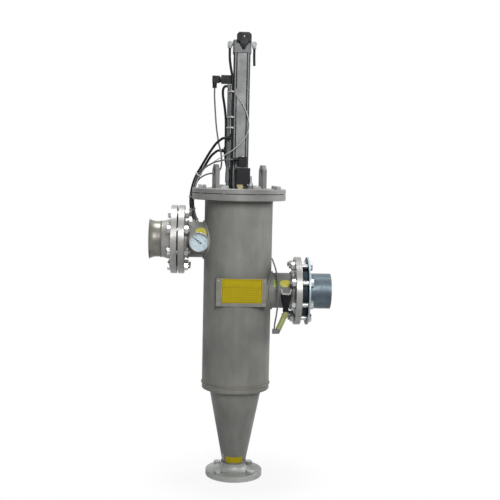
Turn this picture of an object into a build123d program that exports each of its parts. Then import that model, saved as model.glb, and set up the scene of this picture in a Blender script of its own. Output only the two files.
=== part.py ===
from build123d import *
import os
from math import cos, degrees, pi, radians, sin, tan

# Self-cleaning coarse filter: an upright pressure vessel with a slotted screen
# inside, and an air cylinder on the lid that pushes a scraper down the screen.
# Millimetres. Z runs up the vessel axis from the bottom face of the drain flange.
# The front, with the name plate, looks along -Y. Inlet on -X, outlet on +X.

# vessel
body_diameter = 219.1
body_wall = 4.0
body_length = 593.0
end_ring_height = 20.0
cone_height = 246.0
cone_top_margin = 4.15
cone_wall = 3.2
fit_gap = 0.15
weld_leg = 5.0
edge_chamfer = 1.0

# drain flange and its screws; the bolt circle is set by its distance from the hub,
# and the rim by its distance from the bolt circle
drain_pipe_diameter = 76.1
drain_neck_radius = 18.0
drain_bolt_offset = 16.45
drain_bolt_edge = 20.0
drain_bolt_count = 4
drain_flange_thickness = 18.0
drain_flange_height = 45.0

# pipe connections, the same size at the inlet and the outlet
pipe_diameter = 114.3
pipe_wall = 3.6
pipe_hub_rise = 8.35
pipe_hub_length = 32.0
nozzle_hub_rise = 3.0
nozzle_hub_length = 10.0
pipe_bolt_offset = 24.5
pipe_bolt_edge = 20.0
pipe_bolt_count = 8
pipe_flange_thickness = 20.0
gasket_margin = 2.0
inlet_drop = 131.0
inlet_nozzle_length = 82.45
inlet_gasket_thickness = 3.5
inlet_stub_length = 38.0
inlet_stub_flare = 7.0
outlet_rise = 301.0
outlet_nozzle_length = 93.95
outlet_gasket_thickness = 2.0
outlet_plate_thickness = 6.0
outlet_stub_length = 72.0
outlet_stub_setback = 3.0
outlet_stub_step = 0.8
check_ring_thickness = 16.0
check_bore = 76.0
flap_lap = 4.0
flap_thickness = 5.0
flap_pin_radius = 2.5
pin_clearance = 0.06
knuckle_radius = 4.2
ear_inner = 17.0
ear_width = 5.0

# lid
lid_bolt_offset = 19.45
lid_bolt_edge = 21.0
lid_bolt_count = 8
lid_thickness = 14.0
body_flange_thickness = 20.0
lid_gasket_thickness = 2.0
lug_spread = 78.0
lug_turn = 14.0
lug_thickness = 12.0
lug_depth = 50.0
lug_height = 76.0
lug_eye = 22.0

# hexagon screws, M16
screw_radius = 8.0
screw_hole_radius = 9.0
thread_clearance = 0.1
thread_end = 2.0
screw_flats = 24.0
head_height = 10.0
head_chamfer = 1.2
nut_height = 13.0
screw_tail = 7.0

# screen and scraper
screen_margin = 25.55
screen_wire_width = 4.2
screen_slot = 2.78
screen_wire_depth = 3.0
screen_ring_depth = 4.0
screen_ring_width = 5.0
screen_ring_count = 5
screen_end_width = 12.0
screen_spare = 25.0
screen_seat_thickness = 12.0
wiper_gap = 0.35
wiper_height = 34.0
wiper_band = 9.0
wiper_lip_height = 6.0
wiper_lip_depth = 5.0
wiper_hub_radius = 18.0
wiper_spoke_width = 10.0
wiper_spoke_count = 4
wiper_stroke = 320.0

# air cylinder
rod_radius = 8.0
rod_clearance = 0.05
bore_radius = 20.0
tube_width = 53.0
tube_spare = 64.0
tube_corner = 7.0
groove_mouth = 4.0
groove_lip = 1.4
groove_width = 5.6
groove_depth = 4.4
groove_offset = 16.5
cap_width = 58.0
cap_seam = 1.5
cap_screw_spacing = 40.0
cap_screw_recess = 5.5
cap_screw_head = 5.0
cap_screw_key = 2.5
cap_screw_depth = 6.0
front_cap_height = 32.0
rear_cap_height = 42.0
mount_flange_length = 90.0
mount_flange_width = 52.0
mount_flange_thickness = 10.0
mount_stud_spacing = 72.0
mount_stud_height = 40.0
piston_height = 20.0
piston_clearance = 0.05
gland_radius = 17.0
gland_collar_radius = 30.0
gland_collar_height = 12.0

# air hoses and signal leads
hose_radius = 4.0
lead_radius = 2.5
thin_lead_radius = 1.5
elbow_radius = 7.0
elbow_reach = 39.0

# Heights that follow from the sizes above. The outlet is set up from the shell's
# bottom, and the inlet down from its top.
cone_top = drain_flange_height + cone_height
shell_bottom = cone_top + end_ring_height
shell_top = shell_bottom + body_length
inlet_height = shell_top - inlet_drop
outlet_height = shell_bottom + outlet_rise
gasket_bottom = shell_top + body_flange_thickness
lid_bottom = gasket_bottom + lid_gasket_thickness
lid_top = lid_bottom + lid_thickness
front_cap_bottom = lid_top + mount_flange_thickness
tube_bottom = front_cap_bottom + front_cap_height
tube_length = wiper_stroke + tube_spare
tube_top = tube_bottom + tube_length
rear_cap_top = tube_top + rear_cap_height

# The screen stands in the end ring's recess, and the scraper parks at its top.
seat_depth = 4.0
screen_length = wiper_stroke + wiper_height + screen_spare
screen_bottom = shell_bottom - seat_depth
screen_top = screen_bottom + screen_length
wiper_park = screen_top - wiper_height

# Radii and diameters that follow.
body_radius = body_diameter / 2
body_bore_radius = body_radius - body_wall
screen_radius = body_bore_radius - screen_margin
screen_bore = 2 * screen_radius
screen_wire_count = round(2 * pi * screen_radius / (screen_wire_width + screen_slot))
cone_top_diameter = screen_bore + 2 * cone_top_margin
cone_bore_radius = cone_top_diameter / 2 - cone_wall
pipe_radius = pipe_diameter / 2
pipe_bore_radius = pipe_radius - pipe_wall
spigot_radius = pipe_radius - outlet_stub_step
drain_pipe_radius = drain_pipe_diameter / 2
drain_bore_radius = drain_pipe_radius - cone_wall
screen_outer_radius = screen_radius + screen_wire_depth + screen_ring_depth
lid_bolt_circle = body_diameter + 2 * lid_bolt_offset
lid_diameter = lid_bolt_circle + 2 * lid_bolt_edge
lid_radius = lid_diameter / 2
pipe_hub_diameter = pipe_diameter + 2 * pipe_hub_rise
pipe_bolt_circle = pipe_hub_diameter + 2 * pipe_bolt_offset
pipe_flange_diameter = pipe_bolt_circle + 2 * pipe_bolt_edge
pipe_flange_radius = pipe_flange_diameter / 2
pipe_gasket_diameter = pipe_bolt_circle - 2 * (screw_hole_radius + gasket_margin)
check_ring_diameter = pipe_bolt_circle - 2 * screw_hole_radius
flap_diameter = check_bore + 2 * flap_lap
drain_hub_diameter = drain_pipe_diameter + 2 * drain_neck_radius
drain_bolt_circle = drain_hub_diameter + 2 * drain_bolt_offset
drain_flange_diameter = drain_bolt_circle + 2 * drain_bolt_edge
inlet_reach = body_radius + inlet_nozzle_length
outlet_reach = body_radius + outlet_nozzle_length

inlet_axis = Axis((0, 0, inlet_height), (-1, 0, 0))
outlet_axis = Axis((0, 0, outlet_height), (1, 0, 0))
inlet_plane = Plane(origin=(0, 0, inlet_height), x_dir=(0, 1, 0), z_dir=(-1, 0, 0))
outlet_plane = Plane(origin=(0, 0, outlet_height), x_dir=(0, 1, 0), z_dir=(1, 0, 0))

os.makedirs("parts", exist_ok=True)

# The shell: a rolled tube with a round opening for each pipe connection.
with BuildPart() as vessel_shell:
    with BuildSketch(Plane.XY.offset(shell_bottom)):
        Circle(body_radius)
        Circle(body_bore_radius, mode=Mode.SUBTRACT)
    extrude(amount=body_length)
    for opening in (inlet_plane, outlet_plane):
        with BuildSketch(opening):
            Circle(pipe_radius + fit_gap)
        extrude(amount=body_diameter, mode=Mode.SUBTRACT)
vessel_shell.part.label = "vessel_shell"
export_step(vessel_shell.part, "parts/vessel_shell.step")

# The end ring closes the shell down to the cone. The screen stands in its recess,
# and a weld bead runs round the joint with the shell.
with BuildPart() as end_ring:
    with BuildSketch(Plane.XZ):
        with BuildLine():
            Polyline(
                (cone_bore_radius, cone_top),
                (body_radius - 2, cone_top),
                (body_radius, cone_top + 2),
                (body_radius, shell_bottom - 3),
                (body_radius + 1.2, shell_bottom - 1.5),
                (body_radius + 1.2, shell_bottom),
                (screen_outer_radius + 0.3, shell_bottom),
                (screen_outer_radius + 0.3, screen_bottom),
                (cone_bore_radius, screen_bottom),
                close=True,
            )
        make_face()
    revolve(axis=Axis.Z)
end_ring.part.label = "end_ring"
export_step(end_ring.part, "parts/end_ring.step")

# The discharge cone runs from the drain flange up to the end ring.
with BuildPart() as discharge_cone:
    with BuildSketch(Plane.XZ):
        with BuildLine():
            Polyline(
                (drain_bore_radius, drain_flange_height),
                (drain_pipe_radius, drain_flange_height),
                (cone_top_diameter / 2, cone_top - weld_leg),
                (cone_top_diameter / 2 + weld_leg, cone_top),
                (cone_bore_radius, cone_top),
                close=True,
            )
        make_face()
    revolve(axis=Axis.Z)
discharge_cone.part.label = "discharge_cone"
export_step(discharge_cone.part, "parts/discharge_cone.step")

# Weld-neck drain flange: its neck sweeps up from the face in one hollow curve.
with BuildPart() as drain_flange:
    with BuildSketch(Plane.XZ):
        with BuildLine():
            Polyline(
                (drain_hub_diameter / 2, drain_flange_thickness),
                (drain_flange_diameter / 2 - edge_chamfer, drain_flange_thickness),
                (drain_flange_diameter / 2, drain_flange_thickness - edge_chamfer),
                (drain_flange_diameter / 2, edge_chamfer),
                (drain_flange_diameter / 2 - edge_chamfer, 0),
                (drain_bore_radius, 0),
                (drain_bore_radius, drain_flange_height),
                (drain_pipe_radius, drain_flange_height),
                (drain_pipe_radius, drain_flange_thickness + drain_neck_radius),
            )
            CenterArc(
                (drain_hub_diameter / 2, drain_flange_thickness + drain_neck_radius), drain_neck_radius, 180, 90
            )
        make_face()
    revolve(axis=Axis.Z)
    with BuildSketch(Plane.XY):
        with PolarLocations(drain_bolt_circle / 2, drain_bolt_count, start_angle=45):
            Circle(screw_hole_radius)
    extrude(amount=drain_flange_thickness, mode=Mode.SUBTRACT)
drain_flange.part.label = "drain_flange"
export_step(drain_flange.part, "parts/drain_flange.step")

# Four loose screws wait in the drain flange, flush with its bottom face.
with BuildPart() as drain_screws:
    with BuildSketch(Plane.XY.offset(0.5)):
        with PolarLocations(drain_bolt_circle / 2, drain_bolt_count, start_angle=45):
            Circle(screw_radius)
    extrude(amount=drain_flange_thickness - 0.5)
    with BuildSketch(Plane.XY.offset(drain_flange_thickness)):
        with PolarLocations(drain_bolt_circle / 2, drain_bolt_count, start_angle=45):
            RegularPolygon(screw_flats / 2, 6, major_radius=False)
    extrude(amount=head_height)
    tops = drain_screws.edges().filter_by(GeomType.LINE).group_by(Axis.Z)[-1]
    chamfer(tops, head_chamfer)
drain_screws.part.label = "drain_screws"
export_step(drain_screws.part, "parts/drain_screws.step")

# Inlet: a pipe through the shell, with a weld collar that follows the shell.
with BuildPart() as inlet_nozzle:
    with BuildSketch(inlet_plane):
        Circle(pipe_radius + weld_leg)
    extrude(amount=body_radius + weld_leg * 3)
    Cylinder(body_radius + weld_leg, 3 * inlet_height, mode=Mode.INTERSECT)
    Cylinder(body_radius + fit_gap, 3 * inlet_height, mode=Mode.SUBTRACT)
    with BuildSketch(inlet_plane):
        Circle(pipe_radius)
    extrude(amount=inlet_reach - pipe_flange_thickness - nozzle_hub_length)
    Cylinder(body_bore_radius, 3 * inlet_height, mode=Mode.SUBTRACT)
    with BuildSketch(inlet_plane):
        Circle(pipe_bore_radius)
    extrude(amount=inlet_reach, mode=Mode.SUBTRACT)
inlet_nozzle.part.label = "inlet_nozzle"
export_step(inlet_nozzle.part, "parts/inlet_nozzle.step")

with BuildPart() as inlet_flange:
    with BuildSketch(Plane.XZ):
        with BuildLine():
            Polyline(
                (-inlet_reach, inlet_height + pipe_bore_radius),
                (-inlet_reach, inlet_height + pipe_flange_radius - edge_chamfer),
                (edge_chamfer - inlet_reach, inlet_height + pipe_flange_radius),
                (pipe_flange_thickness - inlet_reach - edge_chamfer, inlet_height + pipe_flange_radius),
                (pipe_flange_thickness - inlet_reach, inlet_height + pipe_flange_radius - edge_chamfer),
                (pipe_flange_thickness - inlet_reach, inlet_height + pipe_radius + nozzle_hub_rise),
                (pipe_flange_thickness + nozzle_hub_length - inlet_reach, inlet_height + pipe_radius),
                (pipe_flange_thickness + nozzle_hub_length - inlet_reach, inlet_height + pipe_bore_radius),
                close=True,
            )
        make_face()
    revolve(axis=inlet_axis)
    with BuildSketch(inlet_plane.offset(inlet_reach)):
        with PolarLocations(pipe_bolt_circle / 2, pipe_bolt_count, start_angle=22.5):
            Circle(screw_hole_radius)
    extrude(amount=-pipe_flange_thickness, mode=Mode.SUBTRACT)
inlet_flange.part.label = "inlet_flange"
export_step(inlet_flange.part, "parts/inlet_flange.step")

# The plant's own flange bolts on outside the inlet gasket.
inlet_joint = inlet_reach + inlet_gasket_thickness
inlet_stub_start = inlet_joint + pipe_flange_thickness + pipe_hub_length
with BuildPart() as inlet_counter_flange:
    with BuildSketch(Plane.XZ):
        with BuildLine():
            Polyline(
                (-inlet_joint, inlet_height + pipe_bore_radius),
                (-inlet_joint, inlet_height + pipe_flange_radius - edge_chamfer),
                (-inlet_joint - edge_chamfer, inlet_height + pipe_flange_radius),
                (-inlet_joint - pipe_flange_thickness + edge_chamfer, inlet_height + pipe_flange_radius),
                (-inlet_joint - pipe_flange_thickness, inlet_height + pipe_flange_radius - edge_chamfer),
                (-inlet_joint - pipe_flange_thickness, inlet_height + pipe_hub_diameter / 2),
                (-inlet_stub_start, inlet_height + pipe_radius),
                (-inlet_stub_start, inlet_height + pipe_bore_radius),
                close=True,
            )
        make_face()
    revolve(axis=inlet_axis)
    with BuildSketch(inlet_plane.offset(inlet_joint)):
        with PolarLocations(pipe_bolt_circle / 2, pipe_bolt_count, start_angle=22.5):
            Circle(screw_hole_radius)
    extrude(amount=pipe_flange_thickness, mode=Mode.SUBTRACT)
inlet_counter_flange.part.label = "inlet_counter_flange"
export_step(inlet_counter_flange.part, "parts/inlet_counter_flange.step")

# The cut pipe beyond it begins to widen towards a larger line.
inlet_end = inlet_stub_start + inlet_stub_length
with BuildPart() as inlet_pipe_stub:
    with BuildSketch(Plane.XZ):
        with BuildLine():
            outer = Line((-inlet_stub_start, inlet_height + pipe_radius), (-inlet_end + 26, inlet_height + pipe_radius))
            flare = Bezier(
                outer @ 1,
                (-inlet_end + 12, inlet_height + pipe_radius),
                (-inlet_end, inlet_height + pipe_radius + inlet_stub_flare),
            )
            Line(flare @ 1, (-inlet_end, inlet_height + pipe_radius + inlet_stub_flare - pipe_wall))
            back = Bezier(
                (-inlet_end, inlet_height + pipe_radius + inlet_stub_flare - pipe_wall),
                (-inlet_end + 12, inlet_height + pipe_bore_radius),
                (-inlet_end + 26, inlet_height + pipe_bore_radius),
            )
            Line(back @ 1, (-inlet_stub_start, inlet_height + pipe_bore_radius))
            Line((-inlet_stub_start, inlet_height + pipe_bore_radius), outer @ 0)
        make_face()
    revolve(axis=inlet_axis)
inlet_pipe_stub.part.label = "inlet_pipe_stub"
export_step(inlet_pipe_stub.part, "parts/inlet_pipe_stub.step")

# Outlet: the same collar and pipe, on the other side and lower.
with BuildPart() as outlet_nozzle:
    with BuildSketch(outlet_plane):
        Circle(pipe_radius + weld_leg)
    extrude(amount=body_radius + weld_leg * 3)
    Cylinder(body_radius + weld_leg, 3 * outlet_height, mode=Mode.INTERSECT)
    Cylinder(body_radius + fit_gap, 3 * outlet_height, mode=Mode.SUBTRACT)
    with BuildSketch(outlet_plane):
        Circle(pipe_radius)
    extrude(amount=outlet_reach - pipe_flange_thickness - nozzle_hub_length)
    Cylinder(body_bore_radius, 3 * outlet_height, mode=Mode.SUBTRACT)
    with BuildSketch(outlet_plane):
        Circle(pipe_bore_radius)
    extrude(amount=outlet_reach, mode=Mode.SUBTRACT)
outlet_nozzle.part.label = "outlet_nozzle"
export_step(outlet_nozzle.part, "parts/outlet_nozzle.step")

with BuildPart() as outlet_flange:
    with BuildSketch(Plane.XZ):
        with BuildLine():
            Polyline(
                (outlet_reach, outlet_height + pipe_bore_radius),
                (outlet_reach, outlet_height + pipe_flange_radius - edge_chamfer),
                (outlet_reach - edge_chamfer, outlet_height + pipe_flange_radius),
                (outlet_reach - pipe_flange_thickness + edge_chamfer, outlet_height + pipe_flange_radius),
                (outlet_reach - pipe_flange_thickness, outlet_height + pipe_flange_radius - edge_chamfer),
                (outlet_reach - pipe_flange_thickness, outlet_height + pipe_radius + nozzle_hub_rise),
                (outlet_reach - pipe_flange_thickness - nozzle_hub_length, outlet_height + pipe_radius),
                (outlet_reach - pipe_flange_thickness - nozzle_hub_length, outlet_height + pipe_bore_radius),
                close=True,
            )
        make_face()
    revolve(axis=outlet_axis)
    with BuildSketch(outlet_plane.offset(outlet_reach)):
        with PolarLocations(pipe_bolt_circle / 2, pipe_bolt_count, start_angle=22.5):
            Circle(screw_hole_radius)
    extrude(amount=-pipe_flange_thickness, mode=Mode.SUBTRACT)
outlet_flange.part.label = "outlet_flange"
export_step(outlet_flange.part, "parts/outlet_flange.step")

# Wafer check ring between two gaskets, gripped inside the bolt circle. A slot above
# its bore takes the ear of the flap.
ring_start = outlet_reach + outlet_gasket_thickness
ring_end = ring_start + check_ring_thickness
flap_seat = ring_end - flap_thickness - 1
hinge_height = outlet_height + pipe_bore_radius - 7
hinge_x = flap_seat + flap_thickness / 2 + 0.2
with BuildPart() as check_ring:
    with BuildSketch(outlet_plane.offset(ring_start)):
        Circle(check_ring_diameter / 2)
        Circle(check_bore / 2, mode=Mode.SUBTRACT)
    extrude(amount=check_ring_thickness)
    with BuildSketch(outlet_plane.offset(flap_seat)):
        Circle(pipe_bore_radius - 1)
    extrude(amount=check_ring_thickness, mode=Mode.SUBTRACT)
    with BuildSketch(outlet_plane.offset(flap_seat)):
        with Locations((0, hinge_height - outlet_height)):
            Rectangle(2 * ear_inner - 10, 2 * knuckle_radius + 1.5)
    extrude(amount=-knuckle_radius, mode=Mode.SUBTRACT)
    for side in (-1, 1):
        with BuildSketch(Plane.XZ.offset(-side * ear_inner)):
            with Locations((hinge_x, hinge_height)):
                Circle(knuckle_radius + 0.8)
        extrude(amount=-side * ear_width)
    with BuildSketch(Plane.XZ.offset(-30)):
        with Locations((hinge_x, hinge_height)):
            Circle(flap_pin_radius + pin_clearance)
    extrude(amount=60, mode=Mode.SUBTRACT)
check_ring.part.label = "check_ring"
export_step(check_ring.part, "parts/check_ring.step")

# The flap hangs from a pin across the top of the ring and opens with the flow.
with BuildPart() as check_flap:
    with BuildSketch(outlet_plane.offset(flap_seat + 0.3)):
        Circle(flap_diameter / 2)
        with Locations((0, (hinge_height - outlet_height) / 2)):
            Rectangle(22, hinge_height - outlet_height)
    extrude(amount=flap_thickness - 0.2)
    with BuildSketch(Plane.XZ.offset(6 - ear_inner)):
        with Locations((hinge_x, hinge_height)):
            Circle(knuckle_radius)
    extrude(amount=2 * ear_inner - 12)
    with BuildSketch(Plane.XZ.offset(0.5 - ear_inner - ear_width)):
        with Locations((hinge_x, hinge_height)):
            Circle(flap_pin_radius)
    extrude(amount=2 * (ear_inner + ear_width) - 1)
check_flap.part.label = "check_flap"
export_step(check_flap.part, "parts/check_flap.step")

# Sealing rings: the inlet's one, and one on each face of the check ring.
with BuildPart() as pipe_gaskets:
    with BuildSketch(inlet_plane.offset(inlet_reach)):
        Circle(pipe_gasket_diameter / 2)
        Circle(pipe_radius, mode=Mode.SUBTRACT)
    extrude(amount=inlet_gasket_thickness)
    for face in (outlet_reach, ring_end):
        with BuildSketch(outlet_plane.offset(face)):
            Circle(pipe_gasket_diameter / 2)
            Circle(pipe_radius, mode=Mode.SUBTRACT)
        extrude(amount=outlet_gasket_thickness)
pipe_gaskets.part.label = "pipe_gaskets"
export_step(pipe_gaskets.part, "parts/pipe_gaskets.step")

# The plant's thin plate flange, slipped over its pipe and welded behind.
outlet_joint = ring_end + outlet_gasket_thickness
with BuildPart() as outlet_counter_flange:
    with BuildSketch(outlet_plane.offset(outlet_joint)):
        Circle(pipe_flange_diameter / 2)
        Circle(spigot_radius + fit_gap, mode=Mode.SUBTRACT)
        with PolarLocations(pipe_bolt_circle / 2, pipe_bolt_count, start_angle=22.5):
            Circle(screw_hole_radius, mode=Mode.SUBTRACT)
    extrude(amount=outlet_plate_thickness)
    rims = outlet_counter_flange.edges().filter_by(GeomType.CIRCLE).sort_by(SortBy.RADIUS)[-2:]
    chamfer(rims, edge_chamfer)
outlet_counter_flange.part.label = "outlet_counter_flange"
export_step(outlet_counter_flange.part, "parts/outlet_counter_flange.step")

outlet_end = outlet_joint + outlet_plate_thickness + outlet_stub_length
weld_start = outlet_joint + outlet_plate_thickness
with BuildPart() as outlet_pipe_stub:
    with BuildSketch(Plane.XZ):
        with BuildLine():
            Polyline(
                (outlet_joint + outlet_stub_setback, outlet_height + pipe_bore_radius),
                (outlet_joint + outlet_stub_setback, outlet_height + spigot_radius),
                (weld_start, outlet_height + spigot_radius),
                (weld_start, outlet_height + pipe_radius + weld_leg),
                (weld_start + weld_leg, outlet_height + pipe_radius),
                (outlet_end, outlet_height + pipe_radius),
                (outlet_end, outlet_height + pipe_bore_radius),
                close=True,
            )
        make_face()
    revolve(axis=outlet_axis)
outlet_pipe_stub.part.label = "outlet_pipe_stub"
export_step(outlet_pipe_stub.part, "parts/outlet_pipe_stub.step")

# Eight screws at each pipe joint: the head is on the plant's side, the nut on ours.
inlet_head = inlet_joint + pipe_flange_thickness
outlet_head = outlet_joint + outlet_plate_thickness
inlet_nut = inlet_reach - pipe_flange_thickness
outlet_nut = outlet_reach - pipe_flange_thickness
with BuildPart() as pipe_screws:
    for plane, nut_face, head_face in (
        (inlet_plane, inlet_nut, inlet_head),
        (outlet_plane, outlet_nut, outlet_head),
    ):
        with BuildSketch(plane.offset(nut_face - nut_height - screw_tail)):
            with PolarLocations(pipe_bolt_circle / 2, pipe_bolt_count, start_angle=22.5):
                Circle(screw_radius)
        extrude(amount=head_face - nut_face + nut_height + screw_tail)
        for start, height in ((nut_face, -nut_height), (head_face, head_height)):
            with BuildSketch(plane.offset(start)):
                with PolarLocations(pipe_bolt_circle / 2, pipe_bolt_count, start_angle=22.5):
                    RegularPolygon(screw_flats / 2, 6, major_radius=False)
            extrude(amount=height)
pipe_screws.part.label = "pipe_screws"
export_step(pipe_screws.part, "parts/pipe_screws.step")

# Flange ring on top of the shell with tapped holes, the lid's gasket and the lid.
with BuildPart() as body_flange:
    with BuildSketch(Plane.XY.offset(shell_top)):
        Circle(lid_diameter / 2)
        Circle(body_bore_radius, mode=Mode.SUBTRACT)
        with PolarLocations(lid_bolt_circle / 2, lid_bolt_count, start_angle=22.5):
            Circle(screw_radius + thread_clearance, mode=Mode.SUBTRACT)
    extrude(amount=body_flange_thickness)
    rims = body_flange.edges().filter_by(GeomType.CIRCLE).sort_by(SortBy.RADIUS)[-2:]
    chamfer(rims, edge_chamfer)
body_flange.part.label = "body_flange"
export_step(body_flange.part, "parts/body_flange.step")

gasket_radius = lid_bolt_circle / 2 - screw_hole_radius - 2
with BuildPart() as lid_gasket:
    with BuildSketch(Plane.XY.offset(gasket_bottom)):
        Circle(gasket_radius)
        Circle(body_bore_radius, mode=Mode.SUBTRACT)
    extrude(amount=lid_gasket_thickness)
lid_gasket.part.label = "lid_gasket"
export_step(lid_gasket.part, "parts/lid_gasket.step")

with BuildPart() as lid_plate:
    with BuildSketch(Plane.XY.offset(lid_bottom)):
        Circle(lid_diameter / 2)
    extrude(amount=lid_thickness)
    chamfer(lid_plate.edges().group_by(Axis.Z)[-1], 1.5)
    with BuildSketch(Plane.XY.offset(lid_bottom)):
        with PolarLocations(lid_bolt_circle / 2, lid_bolt_count, start_angle=22.5):
            Circle(screw_hole_radius)
        Circle(gland_radius + fit_gap)
    extrude(amount=lid_thickness, mode=Mode.SUBTRACT)
lid_plate.part.label = "lid_plate"
export_step(lid_plate.part, "parts/lid_plate.step")

with BuildPart() as lid_screws:
    with BuildSketch(Plane.XY.offset(shell_top + thread_end)):
        with PolarLocations(lid_bolt_circle / 2, lid_bolt_count, start_angle=22.5):
            Circle(screw_radius)
    extrude(amount=lid_top - shell_top - thread_end)
    with BuildSketch(Plane.XY.offset(lid_top)):
        with PolarLocations(lid_bolt_circle / 2, lid_bolt_count, start_angle=22.5):
            RegularPolygon(screw_flats / 2, 6, major_radius=False)
    extrude(amount=head_height)
    tops = lid_screws.edges().filter_by(GeomType.LINE).group_by(Axis.Z)[-1]
    chamfer(tops, head_chamfer)
lid_screws.part.label = "lid_screws"
export_step(lid_screws.part, "parts/lid_screws.step")

# Two lifting lugs stand on the lid, turned a little out of the pipe line.
with BuildPart() as lifting_lugs:
    for side in (0, 180):
        lug_plane = Plane.XY.rotated((0, 0, lug_turn + side))
        lug_face = Plane(
            origin=lug_plane.from_local_coords((lug_spread + lug_thickness / 2, 0, lid_top)),
            x_dir=lug_plane.y_dir,
            z_dir=lug_plane.x_dir,
        )
        with BuildSketch(lug_face):
            with BuildLine():
                Polyline(
                    (-lug_depth / 2, 0),
                    (lug_depth / 2, 0),
                    (lug_depth / 2, lug_height - 16),
                    (lug_depth / 5, lug_height),
                    (-lug_depth / 5, lug_height),
                    (-lug_depth / 2, lug_height - 16),
                    close=True,
                )
            make_face()
            with Locations((0, lug_height - lug_depth / 2)):
                Circle(lug_eye / 2, mode=Mode.SUBTRACT)
        extrude(amount=-lug_thickness)
lifting_lugs.part.label = "lifting_lugs"
export_step(lifting_lugs.part, "parts/lifting_lugs.step")

# Rod gland: a bush through the lid with a collar below it, inside the vessel.
with BuildPart() as rod_gland:
    with BuildSketch(Plane.XY.offset(lid_bottom - gland_collar_height)):
        Circle(gland_collar_radius)
    extrude(amount=gland_collar_height)
    with BuildSketch(Plane.XY.offset(lid_bottom)):
        Circle(gland_radius)
    extrude(amount=lid_thickness)
    with BuildSketch(Plane.XY.offset(lid_bottom - gland_collar_height)):
        Circle(rod_radius + rod_clearance)
    extrude(amount=gland_collar_height + lid_thickness, mode=Mode.SUBTRACT)
rod_gland.part.label = "rod_gland"
export_step(rod_gland.part, "parts/rod_gland.step")

# Oblong flange under the air cylinder, and its two studs with nuts.
stud_hole = 4.5
with BuildPart() as cylinder_flange:
    with BuildSketch(Plane.XY.offset(lid_top)):
        RectangleRounded(mount_flange_length, mount_flange_width, 6)
        Circle(rod_radius + 4, mode=Mode.SUBTRACT)
        with GridLocations(mount_stud_spacing, 0, 2, 1):
            Circle(stud_hole, mode=Mode.SUBTRACT)
    extrude(amount=mount_flange_thickness)
cylinder_flange.part.label = "cylinder_flange"
export_step(cylinder_flange.part, "parts/cylinder_flange.step")

with BuildPart() as cylinder_studs:
    with BuildSketch(Plane.XY.offset(lid_top)):
        with GridLocations(mount_stud_spacing, 0, 2, 1):
            Circle(stud_hole - 0.5)
    extrude(amount=mount_stud_height)
    with BuildSketch(Plane.XY.offset(lid_top + mount_flange_thickness)):
        with GridLocations(mount_stud_spacing, 0, 2, 1):
            RegularPolygon(6.5, 6, major_radius=False)
    extrude(amount=8)
cylinder_studs.part.label = "cylinder_studs"
export_step(cylinder_studs.part, "parts/cylinder_studs.step")

with BuildPart() as cylinder_front_cap:
    with BuildSketch(Plane.XY.offset(front_cap_bottom)):
        RectangleRounded(tube_width, tube_width, tube_corner)
        Circle(rod_radius + rod_clearance, mode=Mode.SUBTRACT)
    extrude(amount=front_cap_height)
cylinder_front_cap.part.label = "cylinder_front_cap"
export_step(cylinder_front_cap.part, "parts/cylinder_front_cap.step")

# Extruded tube: square outside with two undercut sensor grooves on each side, round inside.
with BuildPart() as cylinder_tube:
    with BuildSketch(Plane.XY.offset(tube_bottom)):
        RectangleRounded(tube_width, tube_width, tube_corner)
        Circle(bore_radius, mode=Mode.SUBTRACT)
        for quarter in range(4):
            for side in (-1, 1):
                with Locations(Rotation(0, 0, 90 * quarter)):
                    with Locations((side * groove_offset, tube_width / 2 - groove_depth / 2)):
                        Rectangle(groove_mouth, groove_depth, mode=Mode.SUBTRACT)
                    with Locations((side * groove_offset, tube_width / 2 - (groove_depth + groove_lip) / 2)):
                        Rectangle(groove_width, groove_depth - groove_lip, mode=Mode.SUBTRACT)
    extrude(amount=tube_length)
cylinder_tube.part.label = "cylinder_tube"
export_step(cylinder_tube.part, "parts/cylinder_tube.step")

with BuildPart() as cylinder_rear_cap:
    with BuildSketch(Plane.XY.offset(tube_top)):
        RectangleRounded(tube_width - 2, tube_width - 2, tube_corner - 1)
    extrude(amount=cap_seam)
    with BuildSketch(Plane.XY.offset(tube_top + cap_seam)):
        RectangleRounded(cap_width, cap_width, tube_corner)
    extrude(amount=rear_cap_height - cap_seam)
    chamfer(cylinder_rear_cap.edges().group_by(Axis.Z)[-1], 2.5)
    with BuildSketch(Plane.XY.offset(rear_cap_top)):
        with GridLocations(cap_screw_spacing, cap_screw_spacing, 2, 2):
            Circle(cap_screw_recess)
    extrude(amount=-cap_screw_depth, mode=Mode.SUBTRACT)
    with BuildSketch(Plane.XY.offset(rear_cap_top - cap_screw_depth)):
        with GridLocations(cap_screw_spacing, cap_screw_spacing, 2, 2):
            Circle(cap_screw_head)
            RegularPolygon(cap_screw_key, 6, major_radius=False, mode=Mode.SUBTRACT)
    extrude(amount=cap_screw_depth - 1)
cylinder_rear_cap.part.label = "cylinder_rear_cap"
export_step(cylinder_rear_cap.part, "parts/cylinder_rear_cap.step")

# The moving column: cylinder piston, rod and the scraper's clamp nuts.
piston_top = tube_top - 5
rod_bottom = wiper_park - 14
with BuildPart() as piston_rod:
    with BuildSketch(Plane.XY.offset(rod_bottom)):
        Circle(rod_radius)
    extrude(amount=piston_top - rod_bottom)
    with BuildSketch(Plane.XY.offset(piston_top - piston_height)):
        Circle(bore_radius - piston_clearance)
    extrude(amount=piston_height)
    with BuildSketch(Plane.XY.offset(wiper_park - 10)):
        RegularPolygon(12, 6, major_radius=False)
    extrude(amount=10)
    with BuildSketch(Plane.XY.offset(wiper_park + wiper_height)):
        RegularPolygon(12, 6, major_radius=False)
    extrude(amount=10)
piston_rod.part.label = "piston_rod"
export_step(piston_rod.part, "parts/piston_rod.step")

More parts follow.
